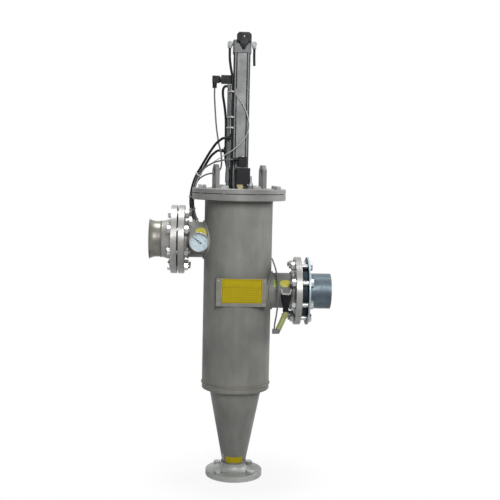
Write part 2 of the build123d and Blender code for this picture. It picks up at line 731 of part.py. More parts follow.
# Spoked scraper carrier: water passes between its spokes. Two grooves hold the lips.
carrier_radius = screen_radius - 2.5
lip_levels = (wiper_park + 5, wiper_park + wiper_height - 5 - wiper_lip_height)
with BuildPart() as scraper_carrier:
    with BuildSketch(Plane.XY.offset(wiper_park)):
        Circle(carrier_radius)
        Circle(carrier_radius - wiper_band, mode=Mode.SUBTRACT)
    extrude(amount=wiper_height)
    with BuildSketch(Plane.XY.offset(wiper_park)):
        Circle(wiper_hub_radius)
        with PolarLocations(carrier_radius / 2, wiper_spoke_count, start_angle=45):
            Rectangle(carrier_radius - wiper_band / 2, wiper_spoke_width)
        Circle(rod_radius, mode=Mode.SUBTRACT)
    extrude(amount=wiper_height)
    for level in lip_levels:
        with BuildSketch(Plane.XY.offset(level)):
            Circle(screen_radius)
            Circle(carrier_radius - wiper_lip_depth + 2.5, mode=Mode.SUBTRACT)
        extrude(amount=wiper_lip_height, mode=Mode.SUBTRACT)
scraper_carrier.part.label = "scraper_carrier"
export_step(scraper_carrier.part, "parts/scraper_carrier.step")

# Scraper lips: two rings with a bevelled edge that runs just inside the screen.
lip_radius = screen_radius - wiper_gap
lip_root = carrier_radius - wiper_lip_depth + 2.5
with BuildPart() as scraper_lips:
    for level in lip_levels:
        with BuildSketch(Plane.XZ):
            with BuildLine():
                Polyline(
                    (lip_root, level),
                    (lip_radius, level),
                    (lip_radius, level + 1.5),
                    (lip_radius - 1.8, level + wiper_lip_height),
                    (lip_root, level + wiper_lip_height),
                    close=True,
                )
            make_face()
        revolve(axis=Axis.Z)
scraper_lips.part.label = "scraper_lips"
export_step(scraper_lips.part, "parts/scraper_lips.step")

# Slotted screen: upright wedge wires, narrow at the back, on outer carrying rings,
# with a solid ring at each end. The wedges keep the slots widest on the clean side.
wire_slope = 75.0
wire_depth = screen_wire_depth + 0.4
with BuildPart() as filter_screen:
    with BuildSketch(Plane.XY.offset(screen_bottom)):
        with PolarLocations(screen_radius + wire_depth / 2, screen_wire_count):
            Trapezoid(screen_wire_width, wire_depth, wire_slope, rotation=-90)
    extrude(amount=screen_length)
    ring_step = (screen_length - screen_end_width * 2) / (screen_ring_count + 1)
    for ring in range(screen_ring_count):
        middle = screen_bottom + screen_end_width + ring_step * (ring + 1)
        with BuildSketch(Plane.XY.offset(middle - screen_ring_width / 2)):
            Circle(screen_outer_radius)
            Circle(screen_radius + screen_wire_depth, mode=Mode.SUBTRACT)
        extrude(amount=screen_ring_width)
    for end in (screen_bottom, screen_top - screen_end_width):
        with BuildSketch(Plane.XY.offset(end)):
            Circle(screen_outer_radius)
            Circle(screen_radius, mode=Mode.SUBTRACT)
        extrude(amount=screen_end_width)
filter_screen.part.label = "filter_screen"
export_step(filter_screen.part, "parts/filter_screen.step")

# Partition ring welded in the shell between the inlet and the clean-water space.
with BuildPart() as screen_seat:
    with BuildSketch(Plane.XY.offset(screen_top - screen_seat_thickness)):
        Circle(body_bore_radius - fit_gap)
        Circle(screen_outer_radius + 0.3, mode=Mode.SUBTRACT)
    extrude(amount=screen_seat_thickness)
screen_seat.part.label = "screen_seat"
export_step(screen_seat.part, "parts/screen_seat.step")

# Elbow fittings on the caps: two on the rear cap, one low on the front cap's left.
rear_port = tube_top + rear_cap_height - 10
front_port = front_cap_bottom + front_cap_height / 2
front_port_side = 14.0
with BuildPart() as port_elbows:
    for side in (-1, 1):
        with BuildSketch(Plane.YZ.offset(side * cap_width / 2)):
            with Locations((0, rear_port)):
                Circle(6)
        extrude(amount=side * (elbow_reach - cap_width / 2))
        with BuildSketch(Plane.YZ.offset(side * cap_width / 2)):
            with Locations((0, rear_port)):
                RegularPolygon(elbow_radius, 6, major_radius=False)
        extrude(amount=side * 2.5)
        with BuildSketch(Plane.XZ):
            with Locations((side * elbow_reach, rear_port)):
                Circle(elbow_radius + 0.8)
        extrude(amount=elbow_radius + 0.5, both=True)
        with BuildSketch(Plane.XY.offset(rear_port - 14)):
            with Locations((side * elbow_reach, 0)):
                Circle(elbow_radius)
        extrude(amount=14)
    with BuildSketch(Plane.YZ.offset(-tube_width / 2)):
        with Locations((front_port_side, front_port)):
            Circle(6)
    extrude(amount=tube_width / 2 - elbow_reach)
    with BuildSketch(Plane.XY.offset(front_port - 8)):
        with Locations((-elbow_reach, front_port_side)):
            Circle(elbow_radius)
    extrude(amount=26)
port_elbows.part.label = "port_elbows"
export_step(port_elbows.part, "parts/port_elbows.step")

# Grey riser tube beside the cylinder, with a base union and an elbow on top.
riser_x = -38.5
riser_y = -14.0
riser_radius = 5.75
riser_bottom = lid_top + 64
riser_top = lid_top + 316
with BuildPart() as riser_tube:
    with BuildSketch(Plane.XY.offset(riser_bottom)):
        with Locations((riser_x, riser_y)):
            Circle(riser_radius)
    extrude(amount=riser_top - riser_bottom)
riser_tube.part.label = "riser_tube"
export_step(riser_tube.part, "parts/riser_tube.step")

with BuildPart() as riser_fittings:
    for start, end, radius in (
        (front_cap_bottom, front_cap_bottom + 12, 6),
        (front_cap_bottom + 12, front_cap_bottom + 40, 8),
        (front_cap_bottom + 40, riser_bottom, 7),
        (riser_top, riser_top + 12, 5.75),
    ):
        with BuildSketch(Plane.XY.offset(start)):
            with Locations((riser_x, riser_y)):
                Circle(radius)
        extrude(amount=end - start)
    with BuildSketch(Plane.YZ.offset(riser_x)):
        with Locations((riser_y, riser_top + 6.5)):
            Circle(5.2)
    extrude(amount=-6)
riser_fittings.part.label = "riser_fittings"
export_step(riser_fittings.part, "parts/riser_fittings.step")

# Black unions where the hoses leave the group: two tees, and a straight fitting on
# the lid that takes the lower end of the straight hose beside the cylinder.
supply_x = -28.5
supply_y = -31.6
elbow_top = lid_top + 172
tee_x = -46.5
tee_y = 1.0
tee_top = lid_top + 132
drop_y = supply_y - 3.2
drop_fitting_height = 30.0
with BuildPart() as hose_unions:
    with BuildSketch(Plane.XY.offset(elbow_top - 18)):
        with Locations((supply_x, supply_y)):
            Circle(5.4)
    extrude(amount=18)
    with BuildSketch(Plane.YZ.offset(supply_x)):
        with Locations((supply_y, elbow_top - 12.6)):
            Circle(5.4)
    extrude(amount=-13)
    with BuildSketch(Plane.XY.offset(tee_top - 24)):
        with Locations((tee_x, tee_y)):
            Circle(6)
    extrude(amount=24)
    with BuildSketch(Plane.YZ.offset(tee_x)):
        with Locations((tee_y, tee_top - 12)):
            Circle(6)
    extrude(amount=-13)
    with BuildSketch(Plane.XY.offset(lid_top)):
        with Locations((supply_x, drop_y)):
            RegularPolygon(7, 6, major_radius=False, rotation=30)
    extrude(amount=9)
    with BuildSketch(Plane.XY.offset(lid_top + 9)):
        with Locations((supply_x, drop_y)):
            Circle(5.4)
    extrude(amount=drop_fitting_height - 9)
hose_unions.part.label = "hose_unions"
export_step(hose_unions.part, "parts/hose_unions.step")

# Terminal box behind the shell, on a bracket, with a row of glands on its top.
box_width = 124.0
box_depth = 74.0
box_height = 130.0
box_drop = 214.0
box_top = shell_top - box_drop
box_back = 18.0
gland_pitch = 18.0
gland_height = 16.0
box_front = body_radius + box_back
box_middle = box_front + box_depth / 2
gland_top = box_top + gland_height
with BuildPart() as terminal_box:
    with BuildSketch(Plane.XY.offset(box_top - box_height)):
        with Locations((0, box_middle)):
            RectangleRounded(box_width, box_depth, 5)
    extrude(amount=box_height)
    with BuildSketch(Plane.XY.offset(box_top)):
        with Locations((0, box_middle)):
            with GridLocations(gland_pitch, 0, 6, 1):
                RegularPolygon(7.5, 6, major_radius=False)
    extrude(amount=gland_height - 5)
    with BuildSketch(Plane.XY.offset(gland_top - 5)):
        with Locations((0, box_middle)):
            with GridLocations(gland_pitch, 0, 6, 1):
                Circle(6)
    extrude(amount=5)
terminal_box.part.label = "terminal_box"
export_step(terminal_box.part, "parts/terminal_box.step")

# Its bracket: a folded channel whose two feet reach the shell.
foot_spacing = 70.0
with BuildPart() as box_bracket:
    with BuildSketch(Plane.XY.offset(box_top - box_height + 15)):
        with Locations((0, box_front - 1.5)):
            Rectangle(foot_spacing, 3)
        for side in (-1, 1):
            with Locations((side * (foot_spacing / 2 - 1.5), box_front - 20)):
                Rectangle(3, 40)
        Circle(body_radius + fit_gap, mode=Mode.SUBTRACT)
    extrude(amount=box_height - 30)
box_bracket.part.label = "box_bracket"
export_step(box_bracket.part, "parts/box_bracket.step")


# Corner radii of a hose: each arc takes most of the shorter run beside its corner.
def bend_radii(points):
    radii = []
    for before, corner, after in zip(points, points[1:], points[2:]):
        turn = radians((corner - before).get_angle(after - corner))
        run = min((corner - before).length, (after - corner).length)
        radii.append(0.45 * run / tan(turn / 2))
    return radii


# A line of points that runs beside a route at a steady distance, without twisting.
def beside(route, side, across, up):
    points = []
    heading = (route[1] - route[0]).normalized()
    side = (side - heading * side.dot(heading)).normalized()
    for index, point in enumerate(route):
        shift = side * across + heading.cross(side) * up
        if 0 < index < len(route) - 1:
            onward = (route[index + 1] - point).normalized()
            turn = radians(heading.get_angle(onward))
            inward = (onward - heading * cos(turn)).normalized()
            points.append(point + shift - heading * (shift.dot(inward) * tan(turn / 2)))
            pivot = Axis((0, 0, 0), heading.cross(onward))
            side = side.rotate(pivot, degrees(turn))
            heading = onward
        else:
            points.append(point + shift)
    return points


# A point round the vessel's axis, by its radius, its angle from +X and its height.
def around(radius, angle, height):
    return Vector(radius * cos(radians(angle)), radius * sin(radians(angle)), height)


# The tied bundle leaves the lid on the left, passes its rim and goes round behind
# the inlet. Each point keeps its distance from the rim and from the lid's top.
bundle = [
    around(lid_radius - 27.0, 169.7, lid_top + 63),
    around(lid_radius - 0.6, 159.6, lid_top + 29),
    around(lid_radius + 15.2, 156.1, lid_top - 9),
    around(lid_radius + 19.2, 155.6, lid_top - 52),
    around(lid_radius + 15.5, 152.7, lid_top - 92),
    around(lid_radius + 11.7, 145.3, lid_top - 125),
    around(lid_radius + 8.6, 131.9, lid_top - 145),
]


# Behind the inlet each line leaves the bundle at its own level and turns down
# into its own gland.
def to_gland(place, level):
    x = (place - 2.5) * gland_pitch
    return [
        Vector(-86, box_middle - 27.5, gland_top + level + 5),
        Vector(x - 27, box_middle - 7, gland_top + level + 1),
        Vector(x - 7, box_middle, gland_top + level - 9),
        Vector(x, box_middle, gland_top + level - 35),
        Vector(x, box_middle, gland_top),
    ]


toward_front = Vector(0, -1, 0)
supply_route = [
    Vector(-elbow_reach, 0, rear_port - 14),
    Vector(-elbow_reach, 0, rear_port - 46),
    Vector(-35, -17, rear_port - 78),
    Vector(-30, -30, rear_port - 104),
    Vector(supply_x + 0.3, supply_y, rear_port - 140),
    Vector(supply_x - 0.3, supply_y, rear_port - 203),
    Vector(supply_x, supply_y, elbow_top + 20),
    Vector(supply_x, supply_y, elbow_top),
]
upper_route = [
    Vector(supply_x - 13, supply_y, elbow_top - 12.6),
    Vector(-55, supply_y, elbow_top - 12.6),
    Vector(-76, -24, elbow_top - 28),
    Vector(-98, -8, elbow_top - 60),
] + beside(bundle, toward_front, 0, 4.3) + to_gland(1, 71.5)
lower_route = [
    Vector(tee_x - 13, tee_y, tee_top - 12),
    Vector(-72, tee_y, tee_top - 12),
    Vector(-92, 7, tee_top - 28),
] + beside(bundle, toward_front, 0, -4.3) + to_gland(3, 91)
loop_route = [
    Vector(riser_x - 6, riser_y, riser_top + 6.5),
    Vector(-53, riser_y, riser_top + 6.5),
    Vector(-58.5, -12.5, riser_top - 3),
    Vector(-58.5, -9, riser_top - 22),
    Vector(-52, -4, riser_top - 56),
    Vector(tee_x - 0.5, tee_y - 0.5, riser_top - 96),
    Vector(tee_x, tee_y, tee_top + 34),
    Vector(tee_x, tee_y, tee_top),
]
front_route = [
    Vector(-elbow_reach, front_port_side, front_port + 18),
    Vector(-elbow_reach, front_port_side, front_port + 32),
    Vector(-43, 7, front_port + 52),
    Vector(tee_x, tee_y, tee_top - 38),
    Vector(tee_x, tee_y, tee_top - 24),
]
drop_route = [
    Vector(supply_x, supply_y, elbow_top - 18),
    Vector(supply_x - 0.4, supply_y - 1.2, lid_top + 92),
    Vector(supply_x, drop_y, lid_top + drop_fitting_height),
]
stub_route = [
    Vector(elbow_reach, 0, rear_port - 14),
    Vector(elbow_reach, 0, rear_port - 40),
    Vector(elbow_reach + 1, -0.5, rear_port - 68),
]
with BuildPart() as air_hoses:
    for route in (supply_route, upper_route, lower_route, loop_route, front_route, drop_route, stub_route):
        radii = bend_radii(route)
        print("hose", [round(radius) for radius in radii])
        with BuildLine(mode=Mode.PRIVATE) as path:
            FilletPolyline(*route, radius=radii)
        with BuildSketch(Plane(origin=path.line @ 0, z_dir=path.line % 0)):
            Circle(hose_radius)
        sweep(path=path.line)
air_hoses.part.label = "air_hoses"
export_step(air_hoses.part, "parts/air_hoses.step")

# Valve plug, stroke sensor and pressure sensor leads.
plug_exit = Vector(-24, -55, lid_top + 91.5)
plug_route = [
    plug_exit,
    Vector(-38, -55, lid_top + 91.5),
    Vector(-60, -44, lid_top + 88),
    Vector(-82, -24, lid_top + 82),
    Vector(-104, -2, lid_top + 70),
] + beside(bundle, toward_front, 6.3, 0) + to_gland(0, 59)
sensor_exit = Vector(-85, -8, lid_top + 317)
sensor_route = [
    sensor_exit,
    Vector(-85, -8, lid_top + 292),
    Vector(-81.5, -9.5, lid_top + 240),
    Vector(-77, -11, lid_top + 190),
    Vector(-69, -13, lid_top + 142),
    Vector(-60, -14, lid_top + 110),
    Vector(-58, -12, lid_top + 78),
    Vector(-62, 0, lid_top + 57),
    Vector(-80, 18, lid_top + 48),
    Vector(-106, 42, lid_top + 44),
    Vector(-134, 63, lid_top + 26),
] + beside(bundle, toward_front, -6.3, 0)[2:] + to_gland(4, 102.5)
cock_x = outlet_reach - 53.5
cock_y = -pipe_radius - 54.85
cock_top = outlet_height + 2
pressure_exit = Vector(cock_x - 34, cock_y, cock_top - 110)
pressure_route = [
    pressure_exit,
    Vector(cock_x - 34, cock_y, cock_top - 94),
    Vector(cock_x - 29, cock_y + 1, cock_top - 69),
    Vector(cock_x - 24, cock_y + 8, cock_top - 24),
    Vector(cock_x - 24, cock_y + 22, cock_top + 22),
    around(body_radius + 34.7, -29.9, cock_top + 49),
    around(body_radius + 21.4, -22.5, cock_top + 69),
    around(body_radius + 10.5, -10.6, gland_top - 9),
    around(body_radius + 6.2, 4.0, gland_top - 2),
    around(body_radius + 10.1, 16.0, gland_top + 4),
    around(body_radius + 15.5, 32.9, gland_top + 11),
    around(body_radius + 26.7, 49.8, gland_top + 22),
    around(body_radius + 43.4, 64.4, gland_top + 36),
    Vector(50, box_middle - 4, gland_top + 33),
    Vector(2.5 * gland_pitch, box_middle, gland_top + 17),
    Vector(2.5 * gland_pitch, box_middle, gland_top),
]
with BuildPart() as signal_leads:
    for route in (plug_route, sensor_route, pressure_route):
        radii = bend_radii(route)
        print("lead", [round(radius) for radius in radii])
        with BuildLine(mode=Mode.PRIVATE) as path:
            FilletPolyline(*route, radius=radii)
        with BuildSketch(Plane(origin=path.line @ 0, z_dir=path.line % 0)):
            Circle(lead_radius)
        sweep(path=path.line)
signal_leads.part.label = "signal_leads"
export_step(signal_leads.part, "parts/signal_leads.step")

# Reed switch in the left front groove of the tube, and its thin pale lead.
reed_bottom = tube_top - 112
reed_length = 28.0
with BuildPart() as reed_switch:
    with BuildSketch(Plane.XY.offset(reed_bottom)):
        with Locations((-groove_offset, -tube_width / 2 + groove_depth / 2)):
            Rectangle(groove_mouth - 0.3, groove_depth - 0.3)
    extrude(amount=reed_length)
reed_switch.part.label = "reed_switch"
export_step(reed_switch.part, "parts/reed_switch.step")

groove_y = -tube_width / 2 + 1.8
thin_route = [
    Vector(-groove_offset, groove_y, reed_bottom),
    Vector(-groove_offset, groove_y, reed_bottom - 11),
    Vector(-groove_offset + 1, groove_y - 4.1, reed_bottom - 21),
    Vector(-6, -31, reed_bottom - 32),
    Vector(7, -33, reed_bottom - 52),
    Vector(18, -35, reed_bottom - 76),
    Vector(26, -36, reed_bottom - 104),
    Vector(25, -36, reed_bottom - 132),
    Vector(14, -35, reed_bottom - 154),
    Vector(-3, -35, reed_bottom - 174),
    Vector(-24, -41, reed_bottom - 193),
    Vector(-58, -30, reed_bottom - 214),
    Vector(-92, -6, reed_bottom - 236),
] + beside(bundle, toward_front, 5.7, -5.5) + to_gland(2, 80)
with BuildPart() as thin_lead:
    radii = bend_radii(thin_route)
    print("thin lead", [round(radius) for radius in radii])
    with BuildLine(mode=Mode.PRIVATE) as path:
        FilletPolyline(*thin_route, radius=radii)
    with BuildSketch(Plane(origin=path.line @ 0, z_dir=path.line % 0)):
        Circle(thin_lead_radius)
    sweep(path=path.line)
thin_lead.part.label = "thin_lead"
export_step(thin_lead.part, "parts/thin_lead.step")

# Cable ties: round the bundle at the middle of some runs, and round the riser with
# the supply hose.
tie_radius = 9.7
tie_thickness = 1.1
tie_width = 4.5
tied_runs = (0, 2, 3, 4)
with BuildPart() as cable_ties:
    for run in tied_runs:
        start, end = bundle[run], bundle[run + 1]
        with BuildSketch(Plane(origin=(start + end) / 2, z_dir=end - start)):
            Circle(tie_radius + tie_thickness)
            Circle(tie_radius, mode=Mode.SUBTRACT)
        extrude(amount=tie_width / 2, both=True)
    for height in (lid_top + 190, lid_top + 223, lid_top + 303):
        with BuildSketch(Plane.XY.offset(height)):
            with BuildSketch(mode=Mode.PRIVATE) as inside:
                with Locations((riser_x, riser_y)):
                    Circle(riser_radius + 0.3)
                with Locations((supply_x, supply_y)):
                    Circle(hose_radius + 0.7)
                make_hull()
            offset(inside.sketch, amount=tie_thickness)
            add(inside.sketch, mode=Mode.SUBTRACT)
        extrude(amount=tie_width)
cable_ties.part.label = "cable_ties"
export_step(cable_ties.part, "parts/cable_ties.step")

# Vent valve on the lid in front of the cylinder: brass body, coil and plug.
coil_x = 8.5
coil_y = -55.5
coil_bottom = lid_top + 15
coil_height = 51.0
coil_width = 45.0
with BuildPart() as vent_valve:
    with BuildSketch(Plane.XY.offset(lid_top)):
        with Locations((coil_x - 9, coil_y)):
            RegularPolygon(9.5, 6, major_radius=False)
    extrude(amount=6)
    with BuildSketch(Plane.XY.offset(lid_top + 6)):
        with Locations((coil_x - 9, coil_y)):
            RectangleRounded(22, 26, 3)
    extrude(amount=9)
vent_valve.part.label = "vent_valve"
export_step(vent_valve.part, "parts/vent_valve.step")

with BuildPart() as vent_coil:
    with BuildSketch(Plane.XY.offset(coil_bottom)):
        with Locations((coil_x, coil_y)):
            RectangleRounded(coil_width, coil_width, 4)
    extrude(amount=coil_height)
    chamfer(vent_coil.edges().group_by(Axis.Z)[-1], 1.5)
vent_coil.part.label = "vent_coil"
export_step(vent_coil.part, "parts/vent_coil.step")

plug_bottom = coil_bottom + coil_height
with BuildPart() as vent_plug:
    with BuildSketch(Plane.XY.offset(plug_bottom)):
        with Locations((coil_x - 2, coil_y + 0.5)):
            RectangleRounded(24, 24, 2)
    extrude(amount=2)
    with BuildSketch(Plane.XY.offset(plug_bottom + 2)):
        with Locations((coil_x - 1.7, coil_y + 0.5)):
            RectangleRounded(27, 27, 3)
    extrude(amount=33)
    chamfer(vent_plug.edges().group_by(Axis.Z)[-1], 2)
    with BuildSketch(Plane.YZ.offset(coil_x - 15)):
        with Locations((plug_exit.Y, plug_exit.Z)):
            Circle(6.5)
    extrude(amount=plug_exit.X + 5 - coil_x + 15)
    with BuildSketch(Plane.YZ.offset(plug_exit.X + 5)):
        with Locations((plug_exit.Y, plug_exit.Z)):
            Circle(5)
    extrude(amount=-5)
vent_plug.part.label = "vent_plug"
export_step(vent_plug.part, "parts/vent_plug.step")

# End-position switch on the rear cap: a stepped block, with a wide plug hooked over
# its front that narrows to the cable end.
switch_x = 5.0
with BuildPart() as end_switch:
    with BuildSketch(Plane.XY.offset(rear_cap_top)):
        with Locations((switch_x, -10)):
            RectangleRounded(40, 46, 3)
    extrude(amount=16)
    with BuildSketch(Plane.XY.offset(rear_cap_top + 16)):
        with Locations((switch_x, -9)):
            RectangleRounded(32, 34, 3)
    extrude(amount=6)
    with BuildSketch(Plane.XZ.offset(cap_width / 2 + 0.3)):
        with BuildLine():
            Polyline(
                (switch_x - 16, rear_cap_top + 22),
                (switch_x + 15, rear_cap_top + 22),
                (switch_x + 23, rear_cap_top + 15),
                (switch_x + 23, rear_cap_top - 7),
                (switch_x + 15, rear_cap_top - 8),
                (switch_x + 9, rear_cap_top - 18),
                (switch_x + 3, rear_cap_top - 28),
                (switch_x - 3, rear_cap_top - 28),
                (switch_x - 9, rear_cap_top - 18),
                (switch_x - 15, rear_cap_top - 8),
                (switch_x - 23, rear_cap_top - 7),
                (switch_x - 23, rear_cap_top + 15),
                close=True,
            )
        make_face()
    extrude(amount=13)
    fronts = end_switch.edges().group_by(Axis.Y)[0]
    chamfer(fronts, 1.5)
end_switch.part.label = "end_switch"
export_step(end_switch.part, "parts/end_switch.step")

# Stroke sensor on the tube's left side, with its angled connector.
sensor_bottom = lid_top + 330.5
sensor_height = 26.5
sensor_end = -65.0
with BuildPart() as stroke_sensor:
    with BuildSketch(Plane.XY.offset(sensor_bottom)):
        with Locations(((sensor_end - tube_width / 2) / 2, -8)):
            Rectangle(-sensor_end - tube_width / 2, 24)
    extrude(amount=sensor_height)
    chamfer(stroke_sensor.edges().filter_by(Axis.Y), 1.5)
stroke_sensor.part.label = "stroke_sensor"
export_step(stroke_sensor.part, "parts/stroke_sensor.step")

with BuildPart() as sensor_connector:
    with BuildSketch(Plane.YZ.offset(sensor_end)):
        with Locations((-8, sensor_bottom + 13)):
            Circle(9)
    extrude(amount=-4)
    with BuildSketch(Plane.XY.offset(sensor_bottom + 2)):
        with Locations(((sensor_end - 4 + sensor_exit.X - 8) / 2, -8)):
            RectangleRounded(sensor_end - 4 - sensor_exit.X + 8, 17, 3)
    extrude(amount=22.5)
    with BuildSketch(Plane.XY.offset(sensor_exit.Z)):
        with Locations((sensor_exit.X, sensor_exit.Y)):
            Circle(7)
    extrude(amount=sensor_bottom + 2 - sensor_exit.Z)
sensor_connector.part.label = "sensor_connector"
export_step(sensor_connector.part, "parts/sensor_connector.step")

# Dial gauge on the front of the inlet pipe.
gauge_x = 66.7 - inlet_reach
gauge_z = inlet_height - 0.6
gauge_front = pipe_radius + 45.85
gauge_depth = 27.0
gauge_radius = 31.0
dial_radius = 29.2
window_radius = 28.4
pin_radius = 1.5
gauge_back = gauge_front - gauge_depth
gauge_plane = Plane(origin=(gauge_x, 0, gauge_z), x_dir=(1, 0, 0), z_dir=(0, -1, 0))
with BuildPart() as gauge_case:
    with BuildSketch(gauge_plane.offset(pipe_radius - 12)):
        Circle(7)
    extrude(amount=gauge_back - pipe_radius + 12)
    with BuildSketch(Plane.YZ.offset(gauge_x)):
        with Locations((0, inlet_height)):
            Circle(pipe_radius + fit_gap)
    extrude(amount=20, both=True, mode=Mode.SUBTRACT)
    with BuildSketch(gauge_plane.offset(gauge_back)):
        Circle(gauge_radius - 0.5)
    extrude(amount=gauge_depth)
    with BuildSketch(gauge_plane.offset(gauge_front - 8)):
        Circle(gauge_radius)
    extrude(amount=8)
    with BuildSketch(gauge_plane.offset(gauge_front)):
        Circle(window_radius)
    extrude(amount=-12, mode=Mode.SUBTRACT)
    with BuildSketch(gauge_plane.offset(gauge_front - 3)):
        Circle(dial_radius)
    extrude(amount=-9, mode=Mode.SUBTRACT)
    with BuildSketch(gauge_plane.offset(gauge_front - 18)):
        Circle(pin_radius + 0.06)
    extrude(amount=6, mode=Mode.SUBTRACT)
gauge_case.part.label = "gauge_case"
export_step(gauge_case.part, "parts/gauge_case.step")

with BuildPart() as gauge_dial:
    with BuildSketch(gauge_plane.offset(gauge_front - 12)):
        Circle(dial_radius - 0.1)
        Circle(pin_radius + 0.06, mode=Mode.SUBTRACT)
    extrude(amount=1)
gauge_dial.part.label = "gauge_dial"
export_step(gauge_dial.part, "parts/gauge_dial.step")

with BuildPart() as gauge_window:
    with BuildSketch(gauge_plane.offset(gauge_front - 5)):
        Circle(dial_radius - 0.1)
    extrude(amount=2)
gauge_window.part.label = "gauge_window"
export_step(gauge_window.part, "parts/gauge_window.step")

# Needle: a tapered pointer on its pin, resting at ten o'clock.
needle_angle = 141.0
needle_way = Vector(cos(radians(needle_angle)), 0, sin(radians(needle_angle)))
needle_plane = Plane(origin=gauge_plane.origin, x_dir=needle_way, z_dir=gauge_plane.z_dir)
with BuildPart() as gauge_needle:
    with BuildSketch(gauge_plane.offset(gauge_front - 17.5)):
        Circle(pin_radius)
    extrude(amount=10)
    with BuildSketch(needle_plane.offset(gauge_front - 9)):
        with BuildLine():
            Polyline((-9, -1.6), (0, -1.8), (24.5, -0.4), (24.5, 0.4), (0, 1.8), (-9, 1.6), close=True)
        make_face()
        Circle(3.2)
    extrude(amount=0.9)
gauge_needle.part.label = "gauge_needle"
export_step(gauge_needle.part, "parts/gauge_needle.step")

# Sampling cock on the front of the outlet: tapered black body on a short branch.
cock_height = 47.0
branch_height = outlet_height - 22
with BuildPart() as sample_cock:
    with BuildSketch(Plane.XY.offset(cock_top)):
        with Locations((cock_x, cock_y)):
            Circle(18)
    with BuildSketch(Plane.XY.offset(cock_top - cock_height)):
        with Locations((cock_x, cock_y)):
            Circle(8.5)
    loft()
    with BuildSketch(Plane.XZ.offset(pipe_radius - 16)):
        with Locations((cock_x, branch_height)):
            Circle(7.5)
    extrude(amount=-cock_y - pipe_radius + 16)
    with BuildSketch(Plane.YZ.offset(cock_x)):
        with Locations((0, outlet_height)):
            Circle(pipe_radius + 1.8)
    extrude(amount=20, both=True, mode=Mode.SUBTRACT)
    with BuildSketch(Plane.XY.offset(cock_top - cock_height - 7.5)):
        with Locations((cock_x, cock_y)):
            Circle(9.5)
    extrude(amount=7.5)
    with BuildSketch(Plane.XY.offset(cock_top)):
        with Locations((cock_x, cock_y)):
            Circle(4.06)
    extrude(amount=-8, mode=Mode.SUBTRACT)
sample_cock.part.label = "sample_cock"
export_step(sample_cock.part, "parts/sample_cock.step")

# Its wing lever turns on a short spindle.
lever_length = 35.0
with BuildPart() as cock_lever:
    with BuildSketch(Plane.XY.offset(cock_top - 7.5)):
        with Locations((cock_x, cock_y)):
            Circle(4)
    extrude(amount=7.8)
    with BuildSketch(Plane.XZ.offset(-cock_y - 6.5)):
        with BuildLine():
            Polyline(
                (cock_x - lever_length / 2, cock_top + 17),
                (cock_x - lever_length / 2 + 6, cock_top + 0.3),
                (cock_x + lever_length / 2 - 6, cock_top + 0.3),
                (cock_x + lever_length / 2, cock_top + 17),
                (cock_x + lever_length / 2 - 3, cock_top + 17),
                (cock_x + lever_length / 2 - 8, cock_top + 4),
                (cock_x - lever_length / 2 + 8, cock_top + 4),
                (cock_x - lever_length / 2 + 3, cock_top + 17),
                close=True,
            )
        make_face()
    extrude(amount=13)
cock_lever.part.label = "cock_lever"
export_step(cock_lever.part, "parts/cock_lever.step")

# Pressure sensor hanging at a slant under the cock, and its angled plug.
sensor_slope = Vector(-23.7, 0, -55).normalized()
sensor_plane = Plane(origin=(cock_x + 1, cock_y, cock_top - cock_height - 11), x_dir=(0, 1, 0), z_dir=sensor_slope)
with BuildPart() as pressure_sensor:
    with BuildSketch(Plane.XY.offset(cock_top - cock_height - 7.5)):
        with Locations((cock_x, cock_y)):
            Circle(7)
    extrude(amount=-6)
    with BuildSketch(sensor_plane):
        Circle(8.8)
    extrude(amount=56)
    with BuildSketch(sensor_plane.offset(6)):
        RegularPolygon(10, 6, major_radius=False)
    extrude(amount=7)
    with BuildSketch(Plane.XY.offset(cock_top - cock_height - 7.5)):
        with Locations((cock_x, cock_y)):
            Circle(30)
    extrude(amount=20, mode=Mode.SUBTRACT)
pressure_sensor.part.label = "pressure_sensor"
export_step(pressure_sensor.part, "parts/pressure_sensor.step")

plug_end = sensor_plane.origin + sensor_slope * 56
with BuildPart() as sensor_plug:
    with BuildSketch(sensor_plane.offset(56)):
        Circle(8.2)
    extrude(amount=14)
    with BuildSketch(Plane.YZ.offset(plug_end.X)):
        with Locations((cock_y, plug_end.Z - 9)):
            Circle(7)
    extrude(amount=pressure_exit.X - plug_end.X)
    with BuildSketch(Plane.XY.offset(plug_end.Z - 15)):
        with Locations((pressure_exit.X, cock_y)):
            Circle(7.2)
    extrude(amount=pressure_exit.Z - plug_end.Z + 15)
sensor_plug.part.label = "sensor_plug"
export_step(sensor_plug.part, "parts/sensor_plug.step")

# Name plate holder: a folded tray on the front of the shell, with a plain plate.
holder_width = 158.0
holder_height = 89.0
holder_bottom = outlet_height - 39
holder_x = 9.5
holder_back = body_radius + 2
holder_sheet = 1.5
with BuildPart() as plate_holder:
    with BuildSketch(Plane.XY.offset(holder_bottom)):
        with Locations((holder_x, -holder_back - holder_sheet / 2)):
            Rectangle(holder_width, holder_sheet)
        for side in (-1, 1):
            with Locations((holder_x + side * (holder_width - holder_sheet) / 2, -holder_back + 10)):
                Rectangle(holder_sheet, 20)
            with Locations((side * 45, -holder_back + 8)):
                Rectangle(20, 16)
        Circle(body_radius + fit_gap, mode=Mode.SUBTRACT)
    extrude(amount=holder_height)
plate_holder.part.label = "plate_holder"
export_step(plate_holder.part, "parts/plate_holder.step")

with BuildPart() as name_plate:
    with BuildSketch(Plane.XZ.offset(holder_back + holder_sheet)):
        with Locations((holder_x + 2, holder_bottom + holder_height - 40)):
            RectangleRounded(127, 76, 2)
    extrude(amount=0.6)
name_plate.part.label = "name_plate"
export_step(name_plate.part, "parts/name_plate.step")
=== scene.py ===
from math import cos, degrees, pi, radians, sin, sqrt

import bmesh
import bpy
from mathutils import Matrix, Vector


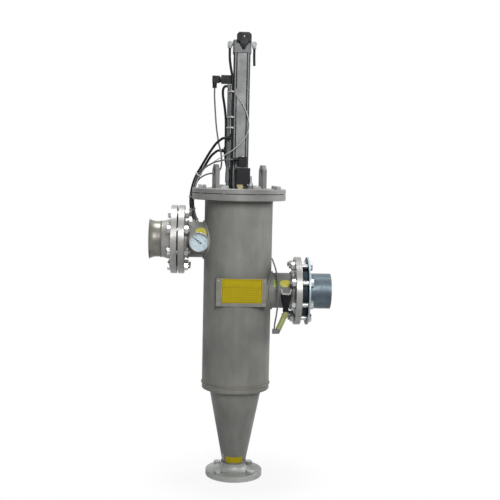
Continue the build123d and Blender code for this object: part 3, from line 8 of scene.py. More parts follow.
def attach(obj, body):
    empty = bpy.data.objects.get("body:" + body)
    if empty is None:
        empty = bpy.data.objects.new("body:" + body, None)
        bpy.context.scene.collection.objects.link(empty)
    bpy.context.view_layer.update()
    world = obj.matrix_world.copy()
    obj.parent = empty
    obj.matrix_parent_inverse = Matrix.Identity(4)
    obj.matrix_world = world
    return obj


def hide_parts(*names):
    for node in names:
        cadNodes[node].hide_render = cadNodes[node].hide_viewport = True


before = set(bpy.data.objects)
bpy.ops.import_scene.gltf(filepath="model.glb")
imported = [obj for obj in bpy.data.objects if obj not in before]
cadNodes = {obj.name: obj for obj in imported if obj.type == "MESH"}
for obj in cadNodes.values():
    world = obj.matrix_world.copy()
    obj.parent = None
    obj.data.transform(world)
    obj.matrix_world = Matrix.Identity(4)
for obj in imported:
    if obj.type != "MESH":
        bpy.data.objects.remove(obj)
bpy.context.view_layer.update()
print("frame loaded:", len(cadNodes), "nodes")

mm = 0.001
# how high the two pipes' axes stand and their outside radius, in millimetres
inletHeight = 773.0
outletHeight = 612.0
pipeRadius = 57.15


def tone(red, green, blue):
    # a colour as a picture editor shows it, turned to the linear values Blender wants
    channels = []
    for level in (red, green, blue):
        level = level / 255
        channels.append(level / 12.92 if level < 0.04045 else ((level + 0.055) / 1.055) ** 2.4)
    return (*channels, 1.0)


def addObject(name, data):
    made = bpy.data.objects.new(name, data)
    bpy.context.scene.collection.objects.link(made)
    return made


def asSeen(carrier):
    # the mesh that an object shows, modifiers and all
    return bpy.data.meshes.new_from_object(carrier.evaluated_get(bpy.context.evaluated_depsgraph_get()))


# node helpers: a wire is a socket that can be used in plain sums
class Wire:
    def __init__(self, graph, socket):
        self.graph = graph
        self.socket = socket

    def maths(self, operation, *values):
        out = self.graph.node("ShaderNodeMath", {"operation": operation}, dict(enumerate(values)))
        return Wire(self.graph, out.outputs[0])

    def __add__(self, other):
        return self.maths("ADD", self, other)

    def __sub__(self, other):
        return self.maths("SUBTRACT", self, other)

    def __mul__(self, other):
        return self.maths("MULTIPLY", self, other)

    def __truediv__(self, other):
        return self.maths("DIVIDE", self, other)

    def __abs__(self):
        return self.maths("ABSOLUTE", self)

    def sine(self):
        return self.maths("SINE", self)

    def cosine(self):
        return self.maths("COSINE", self)

    def root(self):
        return self.maths("SQRT", self)

    def most(self, other):
        return self.maths("MAXIMUM", self, other)

    def ramp(self, low, high, outLow=0.0, outHigh=1.0):
        # runs smoothly from outLow to outHigh while the value goes from low to high
        out = self.graph.node(
            "ShaderNodeMapRange",
            {"interpolation_type": "SMOOTHSTEP", "clamp": True},
            {"Value": self, "From Min": low, "From Max": high, "To Min": outLow, "To Max": outHigh},
        )
        return Wire(self.graph, out.outputs["Result"])


class Graph:
    # what a material, a geometry tree and the sky have in common
    across = 0

    def node(self, kind, settings=None, inputs=None):
        made = self.tree.nodes.new(kind)
        self.across -= 60
        made.location = (self.across, -200)
        for key, value in (settings or {}).items():
            setattr(made, key, value)
        for key, value in (inputs or {}).items():
            self.plug(made.inputs[key], value)
        return made

    def plug(self, socket, value):
        if isinstance(value, Wire):
            self.tree.links.new(value.socket, socket)
        elif isinstance(value, bpy.types.NodeSocket):
            self.tree.links.new(value, socket)
        else:
            socket.default_value = value

    def join(self, x, y, z):
        return self.node("ShaderNodeCombineXYZ", {}, {"X": x, "Y": y, "Z": z}).outputs[0]

    def noise(self, vector, scale, detail=3.0, roughness=0.55, warp=0.0):
        out = self.node(
            "ShaderNodeTexNoise", {},
            {"Vector": vector, "Scale": scale, "Detail": detail, "Roughness": roughness, "Distortion": warp},
        )
        return Wire(self, out.outputs[0])


class Finish(Graph):
    def __init__(self, name):
        self.material = bpy.data.materials.new(name)
        self.material.use_nodes = True
        self.tree = self.material.node_tree
        self.shader = self.tree.nodes["Principled BSDF"]

    def place(self):
        return self.node("ShaderNodeTexCoord").outputs["Object"]

    def split(self, vector):
        parts = self.node("ShaderNodeSeparateXYZ", {}, {"Vector": vector})
        return [Wire(self, parts.outputs[axis]) for axis in "XYZ"]

    def stretch(self, vector, scale):
        return self.node("ShaderNodeMapping", {}, {"Vector": vector, "Scale": scale}).outputs[0]

    def cells(self, vector, scale):
        out = self.node("ShaderNodeTexVoronoi", {"feature": "F1"}, {"Vector": vector, "Scale": scale})
        return Wire(self, out.outputs["Distance"])

    def blend(self, share, first, second):
        # a colour mix; in this mode the node takes its two colours from its inputs 6 and 7
        out = self.node("ShaderNodeMix", {"data_type": "RGBA"}, {0: share, 6: first, 7: second})
        return out.outputs[2]

    def bump(self, height, distance, strength):
        inputs = {"Height": height, "Distance": distance, "Strength": strength}
        return self.node("ShaderNodeBump", {}, inputs).outputs[0]

    def set(self, **sockets):
        names = {
            "colour": "Base Color", "rough": "Roughness", "metal": "Metallic", "normal": "Normal",
            "coat": "Coat Weight", "coatRough": "Coat Roughness", "clear": "Alpha", "ior": "IOR",
            "spec": "Specular IOR Level", "through": "Transmission Weight",
        }
        for key, value in sockets.items():
            self.plug(self.shader.inputs[names[key]], value)
        return self.material


class Tree(Graph):
    # a Geometry Nodes tree with named inputs, each of a socket kind, that are given when it is grown
    def __init__(self, name, sizes):
        self.tree = bpy.data.node_groups.new(name, "GeometryNodeTree")
        face = self.tree.interface
        face.new_socket("Geometry", in_out="INPUT", socket_type="NodeSocketGeometry")
        face.new_socket("Geometry", in_out="OUTPUT", socket_type="NodeSocketGeometry")
        self.keys = {}
        for label, kind in sizes.items():
            socket = face.new_socket(label, in_out="INPUT", socket_type="NodeSocket" + kind)
            self.keys[label] = socket.identifier
        self.start = self.node("NodeGroupInput")
        self.end = self.node("NodeGroupOutput")

    def value(self, label):
        return Wire(self, self.start.outputs[label])

    def finishWith(self, geometry, material):
        real = self.node("GeometryNodeRealizeInstances", {}, {0: geometry})
        inputs = {"Geometry": real.outputs[0], "Material": material}
        painted = self.node("GeometryNodeSetMaterial", {}, inputs)
        self.plug(self.end.inputs[0], painted.outputs[0])

    def grow(self, name, start, sizes):
        # run the tree on a mesh and hand back the result as a plain mesh
        carrier = addObject(name + "Start", start)
        modifier = carrier.modifiers.new("grow", "NODES")
        modifier.node_group = self.tree
        for label, value in sizes.items():
            modifier[self.keys[label]] = value
        mesh = asSeen(carrier)
        mesh.name = name
        carrier.modifiers.remove(modifier)
        bpy.data.objects.remove(carrier)
        return mesh


# finishes; colours are as a picture editor shows them, rough is the range of roughness from light to dark
blast = {
    "cloudScale": 6.5, "patchScale": (14.0, 14.0, 5.0), "runScale": (60.0, 60.0, 2.6), "fineScale": 1100.0,
    "pitScale": 1500.0, "pitDepth": 0.0004, "shine": 0.08, "tint": (104, 94, 78), "tintScale": 30.0,
}
turning = {
    "cloudScale": 16.0, "stainScale": (38.0, 38.0, 38.0), "toolDepth": 0.00025, "shine": 0.15,
    "litRimSoft": 0.0012,
}
drawing = {
    "acrossScale": 420.0, "alongScale": 5.0, "cloudScale": 26.0, "lineDepth": 0.0002, "shine": 0.15,
    "slotShadeSoft": 0.0008,
}
# noise is scale, detail, roughness and warp; worn is two levels of it and the share of wear at each
# dull is the two levels that rougher is added between, and a coat is its weight and its roughness
softSkins = {
    "moulded": {"noise": (60.0, 4.0, 0.65, 0.3), "worn": (0.48, 0.78, 0.0, 0.55), "dull": (0.3, 0.8),
                "rougher": (-0.08, 0.16), "depth": 0.00012, "strength": 0.35, "shine": 0.14, "grain": 1600.0},
    "jacket": {"noise": (130.0, 3.0, 0.6, 0.6), "worn": (0.5, 0.8, 0.0, 0.5), "dull": (0.3, 0.8),
               "rougher": (0.0, 0.2), "depth": 0.0002, "strength": 0.3, "shine": 0.16},
    "paint": {"noise": (45.0, 4.0, 0.6, 0.5), "worn": (0.42, 0.8, 0.0, 0.6), "dull": (0.2, 0.8),
              "rougher": (0.0, 0.18), "depth": 0.0001, "strength": 0.25, "shine": 0.15, "coat": (0.06, 0.2)},
}


def blastedSteel(name, dark, light, rough, seams=(), streak=1.0, metal=0.10):
    # bead-blasted stainless: soft cloudy patches, faint runs down the wall, fine pitted grain
    f = Finish(name)
    place = f.place()
    cloud = f.noise(place, blast["cloudScale"], detail=3.0, roughness=0.5, warp=0.3)
    patch = f.noise(f.stretch(place, blast["patchScale"]), 1.0, detail=4.0, roughness=0.6, warp=0.5)
    runs = f.noise(f.stretch(place, blast["runScale"]), 1.0, detail=2.0, roughness=0.5)
    fine = f.noise(place, blast["fineScale"], detail=2.0, roughness=0.5)
    shade = (cloud * 0.45 + patch * 0.35 + runs * 0.10 * streak + fine * 0.16).ramp(0.28, 0.80)
    colour = f.blend(shade, tone(*dark), tone(*light))
    level = f.split(place)[2]
    for height, width in seams:
        # heat tint left beside a weld, straw brown and fading out
        near = abs(level - height).ramp(width, 0.0)
        uneven = f.noise(place, blast["tintScale"], detail=2.0).ramp(0.2, 0.8, 0.10, 0.34)
        colour = f.blend(near * uneven, colour, tone(*blast["tint"]))
    pits = f.noise(place, blast["pitScale"], detail=2.0, roughness=0.6) + cloud * 0.6
    return f.set(
        colour=colour, metal=metal, rough=shade.ramp(0.0, 1.0, rough[1], rough[0]), spec=blast["shine"],
        normal=f.bump(pits, blast["pitDepth"], 0.3),
    )


def turnedSteel(name, dark, light, axis, centre, rough=(0.26, 0.46), pitch=900.0, metal=0.5, litRim=None):
    # machined face and rim: fine rings about the piece's own axis, handled and a little stained
    f = Finish(name)
    place = f.place()
    parts = f.split(place)
    turn = "XYZ".index(axis)
    across = [parts[i] - centre[i] for i in range(3) if i != turn]
    ring = (across[0] * across[0] + across[1] * across[1]).root()
    tool = f.noise(f.join(ring * pitch, parts[turn] * pitch, 0.0), 1.0, detail=2.0, roughness=0.7)
    cloud = f.noise(place, turning["cloudScale"], detail=4.0, roughness=0.6, warp=0.3)
    stain = f.cells(f.stretch(place, turning["stainScale"]), 1.0).ramp(0.10, 0.42, 0.35, 0.0)
    shade = (cloud * 0.7 + tool * 0.35 - stain * 0.18).ramp(0.30, 0.76)
    colour = f.blend(shade, tone(*dark), tone(*light))
    if litRim is not None:
        # painted highlight: the rim is coloured paler as if lit, told from the faces by how far out it lies
        radius, litRimColour = litRim
        colour = f.blend(ring.ramp(radius - turning["litRimSoft"], radius), colour, tone(*litRimColour))
    return f.set(
        colour=colour, metal=metal, rough=shade.ramp(0.0, 1.0, rough[1], rough[0]), spec=turning["shine"],
        normal=f.bump(tool, turning["toolDepth"], 0.4),
    )


def drawnMetal(name, dark, light, along, rough, grain=1.0, metal=0.5, lines=0.3, slotShade=None):
    # drawn or extruded metal: fine lines run along the piece
    f = Finish(name)
    place = f.place()
    scale = [drawing["acrossScale"] * grain] * 3
    scale["XYZ".index(along)] = drawing["alongScale"]
    drawn = f.noise(f.stretch(place, tuple(scale)), 1.0, detail=3.0, roughness=0.65)
    cloud = f.noise(place, drawing["cloudScale"], detail=4.0, roughness=0.6, warp=0.2)
    shade = (drawn * lines + cloud * (1.0 - lines)).ramp(0.16, 0.86)
    colour = f.blend(shade, tone(*dark), tone(*light))
    if slotShade is not None:
        # painted shade: the slots, which are deeper than the four faces, are coloured darker as if in shadow
        depth, slotShadeColour = slotShade
        x, y = f.split(place)[:2]
        slotShadeShare = abs(x).most(abs(y)).ramp(depth, depth - drawing["slotShadeSoft"])
        colour = f.blend(slotShadeShare, colour, tone(*slotShadeColour))
    return f.set(
        colour=colour, metal=metal, rough=shade.ramp(0.0, 1.0, rough[1], rough[0]), spec=drawing["shine"],
        normal=f.bump(drawn, drawing["lineDepth"], 0.3),
    )


def softSkin(kind, name, colour, dusty, rough):
    # moulded plastic, a hose's jacket or painted sheet: dust or wear in patches, with the shine gone there
    f = Finish(name)
    skin = softSkins[kind]
    patch = f.noise(f.place(), *skin["noise"])
    dull = patch.ramp(*skin["dull"], rough + skin["rougher"][0], rough + skin["rougher"][1])
    shade = f.blend(patch.ramp(*skin["worn"]), tone(*colour), tone(*dusty))
    height = f.cells(f.place(), skin["grain"]) if "grain" in skin else patch
    if "coat" in skin:
        f.set(coat=skin["coat"][0], coatRough=skin["coat"][1])
    normal = f.bump(height, skin["depth"], skin["strength"])
    return f.set(colour=shade, rough=dull, spec=skin["shine"], normal=normal)


def clearGlass(name):
    # a clear pane, smeared where it has been wiped
    f = Finish(name)
    smear = f.noise(f.place(), 70.0, detail=3.0, roughness=0.6, warp=0.8)
    return f.set(
        colour=tone(240, 244, 246), rough=smear.ramp(0.4, 0.8, 0.02, 0.12), through=1.0, ior=1.45, clear=0.35,
    )


# a weld's height and how far its heat tint reaches, and the axes that faces were turned about
weldSeams = ((0.311, 0.012), (0.291, 0.010), (0.904, 0.010), (0.045, 0.008))
inletAxis = (0, 0, inletHeight * mm)
outletAxis = (0, 0, outletHeight * mm)
gaugeAxis = (-0.1253, 0, 0.7724)
finishes = {
    "vessel": blastedSteel("blastedShell", (108, 110, 106), (150, 150, 145), (0.40, 0.56), seams=weldSeams),
    "lid": blastedSteel("blastedLid", (120, 121, 119), (157, 157, 154), (0.34, 0.48), streak=0.2, metal=0.2),
    "flangeZ": blastedSteel("drainFlangeSteel", (158, 161, 157), (196, 198, 194), (0.34, 0.5), streak=0.2,
                            metal=0.3),
    "flangeIn": turnedSteel("turnedInlet", (124, 124, 122), (165, 164, 162), "X", inletAxis),
    "flangeOut": turnedSteel("turnedOutlet", (134, 135, 132), (172, 173, 170), "X", outletAxis, metal=0.42),
    "pipeIn": drawnMetal("inletPipeSteel", (97, 96, 90), (133, 131, 124), "X", (0.28, 0.44), grain=0.4,
                         lines=0.2),
    # painted shade and painted highlight: the plate's face is coloured dark as if in shadow, and its rim pale
    # as if lit
    "plantFlange": turnedSteel("plantFlangeSteel", (34, 43, 48), (60, 71, 77), "X", outletAxis, (0.34, 0.5),
                               metal=0.3, litRim=(0.1094, (158, 176, 186))),
    # the ring's dark blue-black is partly painted shade, standing in for the shade in the narrow gap between
    # the flanges
    "wafer": turnedSteel("waferRing", (24, 34, 42), (46, 58, 66), "X", outletAxis, (0.4, 0.56), metal=0.2),
    "plantPipe": drawnMetal("plantPipeSteel", (70, 81, 88), (105, 117, 124), "X", (0.30, 0.48), grain=0.4,
                            metal=0.45, lines=0.2),
    "weld": blastedSteel("weldBead", (104, 100, 92), (150, 147, 139), (0.3, 0.46), streak=0.1, metal=0.35),
    "screw": turnedSteel("screwSteel", (136, 138, 138), (196, 198, 197), "Z", (0, 0, 0), (0.2, 0.36),
                         pitch=1500.0, metal=0.7),
    "gasket": softSkin("moulded", "gasketSheet", (26, 26, 27), (52, 51, 50), 0.6),
    # the tube's slots are darkened with a painted shade
    "anodised": drawnMetal("anodisedTube", (116, 118, 118), (147, 149, 149), "Z", (0.40, 0.54), grain=1.2,
                           metal=0.15, slotShade=(0.0262, (34, 35, 37))),
    "castCap": blastedSteel("castCap", (102, 104, 105), (139, 141, 142), (0.40, 0.54), streak=0.1,
                            metal=0.15),
    "black": softSkin("moulded", "blackPlastic", (20, 20, 24), (46, 46, 50), 0.42),
    "hose": softSkin("jacket", "blackHose", (18, 18, 20), (46, 46, 48), 0.34),
    "greyLead": softSkin("jacket", "greyLead", (108, 110, 114), (140, 142, 144), 0.42),
    "paleLead": softSkin("jacket", "paleLead", (192, 192, 186), (166, 165, 160), 0.4),
    "tie": softSkin("moulded", "naturalNylon", (212, 212, 206), (184, 183, 176), 0.35),
    "riser": softSkin("moulded", "greyTube", (104, 107, 110), (134, 136, 138), 0.36),
    "fitting": softSkin("moulded", "paleFitting", (184, 186, 186), (140, 141, 142), 0.3),
    "brass": drawnMetal("forgedBrass", (110, 102, 76), (160, 150, 118), "Z", (0.28, 0.44), grain=0.4,
                        metal=0.6),
    "chrome": drawnMetal("hardChrome", (176, 178, 180), (214, 216, 218), "Z", (0.06, 0.14), metal=1.0),
    "gaugeCase": turnedSteel("gaugeCaseSteel", (130, 131, 132), (184, 185, 185), "Y", gaugeAxis, (0.18, 0.34),
                             metal=0.7),
    "sensorBody": drawnMetal("sensorBody", (140, 144, 92), (178, 182, 128), "Z", (0.3, 0.46), grain=0.5,
                             metal=0.35),
    "sensorEnd": softSkin("moulded", "sensorEnd", (120, 122, 122), (150, 151, 150), 0.38),
    "dial": softSkin("moulded", "dialCard", (196, 212, 218), (184, 198, 204), 0.5),
    "bandGreen": softSkin("paint", "bandGreen", (150, 170, 70), (136, 156, 66), 0.3),
    "ink": softSkin("moulded", "dialInk", (24, 24, 26), (40, 40, 42), 0.5),
    "glass": clearGlass("gaugeGlass"),
    "yellow": softSkin("paint", "yellowPlate", (182, 163, 14), (162, 144, 19), 0.3),
    "paleYellow": softSkin("paint", "paleLabel", (198, 190, 82), (184, 174, 78), 0.3),
    "sticker": softSkin("paint", "silverSticker", (186, 186, 188), (166, 166, 168), 0.3),
    "holder": drawnMetal("holderSheet", (112, 110, 104), (139, 137, 130), "X", (0.34, 0.48), grain=0.6,
                         metal=0.3, lines=0.2),
    "lever": drawnMetal("leverSteel", (150, 152, 152), (196, 198, 198), "Z", (0.24, 0.38), grain=0.5,
                        metal=0.6),
    "box": softSkin("moulded", "boxPlastic", (118, 120, 122), (142, 143, 143), 0.45),
}
print("finishes made:", len(finishes))

# which CAD nodes wear which finish
worn = {
    "vessel": ["vessel_shell", "end_ring", "discharge_cone", "inlet_nozzle", "outlet_nozzle", "screen_seat"],
    "lid": ["body_flange", "lid_plate", "lifting_lugs", "rod_gland"],
    "flangeZ": ["drain_flange"],
    "flangeIn": ["inlet_flange", "inlet_counter_flange"],
    "flangeOut": ["outlet_flange"],
    "wafer": ["check_ring", "check_flap"],
    "pipeIn": ["inlet_pipe_stub"],
    "plantFlange": ["outlet_counter_flange"],
    "plantPipe": ["outlet_pipe_stub"],
    "screw": ["drain_screws", "lid_screws", "pipe_screws", "cylinder_studs", "filter_screen",
              "scraper_carrier"],
    "lever": ["cock_lever"],
    "gasket": ["lid_gasket", "pipe_gaskets"],
    "anodised": ["cylinder_tube"],
    "castCap": ["cylinder_front_cap", "cylinder_rear_cap", "cylinder_flange", "riser_fittings"],
    "black": ["vent_coil", "vent_plug", "end_switch", "stroke_sensor", "sensor_connector", "reed_switch",
              "hose_unions", "sample_cock"],
    "sensorBody": ["pressure_sensor"],
    "sensorEnd": ["sensor_plug"],
    "hose": ["air_hoses"],
    "greyLead": ["signal_leads"],
    "paleLead": ["thin_lead", "scraper_lips"],
    "tie": ["cable_ties"],
    "riser": ["riser_tube"],
    "fitting": ["port_elbows"],
    "brass": ["vent_valve"],
    "chrome": ["piston_rod"],
    "gaugeCase": ["gauge_case"],
    "dial": ["gauge_dial"],
    "ink": ["gauge_needle"],
    "glass": ["gauge_window"],
    "yellow": ["name_plate"],
    "holder": ["plate_holder", "box_bracket"],
    "box": ["terminal_box"],
}
for finishName, members in worn.items():
    for member in members:
        data = cadNodes[member].data
        data.materials.clear()
        data.materials.append(finishes[finishName])
print("CAD nodes dressed")


# shapes for the detail pieces, written in millimetres and brought to metres at the end
chamferCircle = 0.95  # the turned circle on a hexagon, as a share of its half flats
bevelShare = 0.18  # a block's broken edge, as a share of its smallest side


def turns(count):
    # even steps once round, in radians
    return [2 * pi * step / count for step in range(count)]


def lathe(shape, profile, sides, closed=False):
    # a solid turned round Z; a row is (radius, height), or (half flats, height, slope) for a hexagon
    rows = []
    for radius, height, *slope in profile:
        row = []
        for angle in turns(sides):
            reach, level = radius, height
            if slope:
                reach = radius / cos(radians((degrees(angle) + 30) % 60 - 30))
                level = height - slope[0] * (reach - radius * chamferCircle)
            row.append(shape.verts.new((reach * cos(angle), reach * sin(angle), level)))
        rows.append(row)
    pairs = list(zip(rows, rows[1:]))
    if closed:
        pairs.append((rows[-1], rows[0]))
    else:
        shape.faces.new(reversed(rows[0]))
        shape.faces.new(rows[-1])
    for low, high in pairs:
        for step in range(sides):
            after = (step + 1) % sides
            shape.faces.new((low[step], low[after], high[after], high[step]))


def slab(shape, corner, size):
    # a plain block with its edges broken
    made = bmesh.ops.create_cube(shape, size=1.0)["verts"]
    for vert in made:
        vert.co = Vector([corner[i] + (vert.co[i] + 0.5) * size[i] for i in range(3)])
    edges = {edge for vert in made for edge in vert.link_edges}
    bmesh.ops.bevel(shape, geom=list(edges), offset=min(size) * bevelShare, segments=2, affect="EDGES")


def asMesh(name, shape, turn=None):
    if turn is not None:
        bmesh.ops.transform(shape, matrix=turn, verts=shape.verts)
    bmesh.ops.scale(shape, vec=(mm, mm, mm), verts=shape.verts)
    bmesh.ops.remove_doubles(shape, verts=shape.verts, dist=1e-7)
    bmesh.ops.recalc_face_normals(shape, faces=shape.faces)
    mesh = bpy.data.meshes.new(name)
    shape.to_mesh(mesh)
    shape.free()
    return mesh


def addPiece(name, mesh, finishName, body="base", instead=(), sharp=32.0):
    mesh.materials.clear()
    mesh.materials.append(finishes[finishName])
    mesh.shade_smooth()
    mesh.set_sharp_from_angle(angle=radians(sharp))
    piece = addObject(name, mesh)
    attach(piece, body)
    if instead:
        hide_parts(*instead)


def aimedPoints(name, rows):
    # points that carry the direction of what stands on them
    mesh = bpy.data.meshes.new(name)
    mesh.from_pydata([Vector(place) * mm for place, aim in rows], [], [])
    attribute = mesh.attributes.new("aim", "FLOAT_VECTOR", "POINT")
    for step, (place, aim) in enumerate(rows):
        attribute.data[step].vector = Vector(aim).normalized()
    return mesh


def circleOfPoints(radius, count, firstAngle, centre, aim):
    # a bolt circle round the axis of its aim, which is X or Z
    rows = []
    for step in range(count):
        angle = radians(firstAngle + 360 * step / count)
        across, along = radius * cos(angle), radius * sin(angle)
        offset = (0, across, along) if aim[0] else (across, along, 0)
        rows.append((Vector(centre) + Vector(offset), aim))
    return rows


def onSurface(node, start, direction):
    # where a line meets a CAD node
    found, place = cadNodes[node].ray_cast(Vector(start) * mm, Vector(direction))[:2]
    if not found:
        raise ValueError("nothing of " + node + " lies that way")
    return place / mm


def makeStandingTree():
    # one shape stood on every point, turned to its aim and spun a little about it
    tree = Tree("standing", {"Shape": "Object", "Finish": "Material", "Loose": "Float", "Seed": "Int"})
    shape = tree.node("GeometryNodeObjectInfo", {}, {"Object": tree.value("Shape"), "As Instance": True})
    aim = tree.node("GeometryNodeInputNamedAttribute", {"data_type": "FLOAT_VECTOR"}, {"Name": "aim"})
    facing = {"Vector": aim.outputs["Attribute"]}
    upright = tree.node("FunctionNodeAlignRotationToVector", {"axis": "Z"}, facing)
    loose = tree.value("Loose")
    limits = {2: loose * -1.0, 3: loose, "Seed": tree.value("Seed")}
    spin = Wire(tree, tree.node("FunctionNodeRandomValue", {"data_type": "FLOAT"}, limits).outputs[1])
    turn = tree.node("FunctionNodeEulerToRotation", {}, {0: tree.join(0.0, 0.0, spin)})
    both = {"Rotation": upright.outputs[0], "Rotate By": turn.outputs[0]}
    turned = tree.node("FunctionNodeRotateRotation", {"rotation_space": "LOCAL"}, both)
    stood = tree.node("GeometryNodeInstanceOnPoints", {}, {
        "Points": tree.start.outputs["Geometry"], "Instance": shape.outputs["Geometry"],
        "Rotation": turned.outputs[0],
    })
    tree.finishWith(stood.outputs[0], tree.value("Finish"))
    return tree


def makeBeadTree():
    # a weld bead along the edges it is given, rippled as the puddles freeze
    tree = Tree("weldBead", {"Width": "Float", "Ripple": "Float", "Depth": "Float", "Step": "Float"})
    line = tree.node("GeometryNodeMeshToCurve", {}, {"Mesh": tree.start.outputs["Geometry"]})
    spacing = {"Curve": line.outputs[0], "Length": tree.value("Step")}
    even = tree.node("GeometryNodeResampleCurve", {"mode": "LENGTH"}, spacing)
    along = Wire(tree, tree.node("GeometryNodeSplineParameter").outputs["Length"])
    wander = tree.noise(tree.node("GeometryNodeInputPosition").outputs[0], 160.0, 2.0)
    puddle = (along * (2 * pi) / tree.value("Ripple") + wander * 6.0).sine()
    swell = puddle * tree.value("Depth") + wander * 0.3 + 0.85
    radius = tree.value("Width") * 0.5
    section = tree.node("GeometryNodeCurvePrimitiveCircle", {}, {"Resolution": 8, "Radius": radius})
    swept = tree.node("GeometryNodeCurveToMesh", {}, {
        "Curve": even.outputs[0], "Profile Curve": section.outputs["Curve"], "Scale": swell,
        "Fill Caps": True,
    })
    tree.finishWith(swept.outputs[0], finishes["weld"])
    return tree


def makeTickTree():
    # scale marks along an arc in the dial's plane
    tree = Tree("scaleTicks", {
        "Count": "Int", "Radius": "Float", "Length": "Float", "Width": "Float", "Thick": "Float",
        "First": "Float", "Sweep": "Float", "Centre": "Vector",
    })
    count = tree.value("Count")
    marks = tree.node("GeometryNodeMeshLine", {"mode": "OFFSET"}, {"Count": count, "Offset": (0, 0, 0)})
    index = Wire(tree, tree.node("GeometryNodeInputIndex").outputs[0])
    angle = tree.value("First") - tree.value("Sweep") * index / (count - 1)
    radius = tree.value("Radius")
    place = tree.join(angle.cosine() * radius, 0.0, angle.sine() * radius)
    spread = tree.node("GeometryNodeSetPosition", {}, {"Geometry": marks.outputs[0], "Position": place})
    size = tree.join(tree.value("Length"), tree.value("Thick"), tree.value("Width"))
    mark = tree.node("GeometryNodeMeshCube", {}, {"Size": size})
    turn = tree.node("FunctionNodeEulerToRotation", {}, {0: tree.join(0.0, angle * -1.0, 0.0)})
    stood = tree.node("GeometryNodeInstanceOnPoints", {}, {
        "Points": spread.outputs[0], "Instance": mark.outputs["Mesh"], "Rotation": turn.outputs[0],
    })
    shift = {"Geometry": stood.outputs[0], "Translation": tree.value("Centre")}
    tree.finishWith(tree.node("GeometryNodeTransform", {}, shift).outputs[0], finishes["ink"])
    return tree


def standOn(name, master, rows, finishName, instead=(), loose=0.0, seed=1, sharp=32.0):
    shape = addObject(name + "Shape", master)
    sizes = {"Shape": shape, "Finish": finishes[finishName], "Loose": loose, "Seed": seed}
    mesh = standingTree.grow(name, aimedPoints(name, rows), sizes)
    bpy.data.objects.remove(shape)
    addPiece(name, mesh, finishName, instead=instead, sharp=sharp)


standingTree = makeStandingTree()
beadTree = makeBeadTree()
tickTree = makeTickTree()

# hexagon screws with turned chamfers, a washer face, a rolled thread and a nut
screw = {
    "radius": 8.0, "halfFlats": 12.0, "head": 10.0, "nut": 13.0, "tail": 7.0, "pitch": 2.0,
    "threadDepth": 0.8, "play": 0.1, "point": 1.4, "pointDepth": 1.5, "washerFace": 0.6, "slope": 0.577,
    "dishRim": 1.8, "dishFloor": 2.6, "dishDepth": 0.5, "nutLead": 1.2, "sides": 36, "loose": 0.5,
}
# where the heads lie and which way they look; a grip is what lies between a head and its nut
boltCircles = {
    "inletScrews": {"radius": 90.0, "count": 8, "first": 22.5, "centre": (-215.5, 0, inletHeight),
                    "aim": (-1, 0, 0), "grip": 43.5, "thread": 8.0, "seed": 3, "instead": ()},
    "outletScrews": {"radius": 90.0, "count": 8, "first": 22.5, "centre": (229.5, 0, outletHeight),
                     "aim": (1, 0, 0), "grip": 46.0, "thread": 8.0, "seed": 7, "instead": ("pipe_screws",)},
    "lidScrews": {"radius": 129.0, "count": 8, "first": 22.5, "centre": (0, 0, 940.0),
                  "aim": (0, 0, 1), "shank": 34.0, "thread": 2.0, "seed": 5, "instead": ("lid_screws",)},
    "drainScrews": {"radius": 72.5, "count": 4, "first": 45.0, "centre": (0, 0, 18.0),
                    "aim": (0, 0, 1), "shank": 17.5, "thread": 4.0, "seed": 9, "instead": ("drain_screws",)},
}


def hexScrew(name, shank, threaded, grip=None):
    shape = bmesh.new()
    radius, flats, slope = screw["radius"], screw["halfFlats"], screw["slope"]
    crest = radius - screw["play"]
    circle = flats * chamferCircle
    level = -shank + screw["point"]
    rows = [(radius - screw["pointDepth"], -shank), (crest, level)]
    while level < -shank + threaded:
        rows.append((radius - screw["threadDepth"], level + screw["pitch"] * 0.5))
        rows.append((crest, level + screw["pitch"]))
        level += screw["pitch"]
    head, washer = screw["head"], screw["washerFace"]
    rows += [(crest, 0), (circle, 0), (circle, washer), (flats, washer, 0.0), (flats, head, slope)]
    rows += [(circle, head), (circle - screw["dishRim"], head)]
    rows.append((circle - screw["dishFloor"], head - screw["dishDepth"]))
    lathe(shape, rows, screw["sides"])
    if grip is not None:
        low, high, lead = -grip - screw["nut"], -grip, screw["nutLead"]
        rows = [(radius, low + lead), (radius + lead, low), (circle, low)]
        rows += [(flats, low, -slope), (flats, high, slope), (circle, high)]
        lathe(shape, rows, screw["sides"])
    return asMesh(name, shape)


def makeScrews():
    for name, circle in boltCircles.items():
        grip = circle.get("grip")
        shank = circle["shank"] if grip is None else grip + screw["nut"] + screw["tail"]
        ring = circle["radius"], circle["count"], circle["first"]
        rows = circleOfPoints(*ring, circle["centre"], circle["aim"])
        shape = hexScrew(name + "Single", shank, circle["thread"], grip)
        standOn(name, shape, rows, "screw", circle["instead"], screw["loose"], circle["seed"])


makeScrews()
print("screws made")

# weld beads; a ring is given by its radius and its place along the vessel's or the pipe's axis
bead = {
    "width": 5.6, "ripple": 3.0, "depth": 0.08, "step": 1.4, "points": 180,
    "shellRadius": 109.55, "saddleOut": 1.3,
    "vesselRings": ((109.6, 310.2), (86.6, 288.4), (38.6, 45.4), (110.2, 903.2)),
    "pipeRings": ((59.2, -161.7, inletHeight), (59.2, 173.2, outletHeight),
                  (59.4, 231.1, outletHeight), (56.6, -247.5, inletHeight)),
    "lugX": 75.68, "lugY": -18.87, "lugTurn": -14.0, "lugHalfWidth": 6.6, "lugHalfDepth": 25.6,
    "lugCorner": 2.0, "lugHeight": 940.3, "cornerSteps": 7,
}


def ringPath(radius, centre, sideways=False):
    path = []
    for angle in turns(bead["points"]):
        across, along = radius * cos(angle), radius * sin(angle)
        path.append(Vector(centre) + (Vector((0, across, along)) if sideways else Vector((across, along, 0))))
    return path


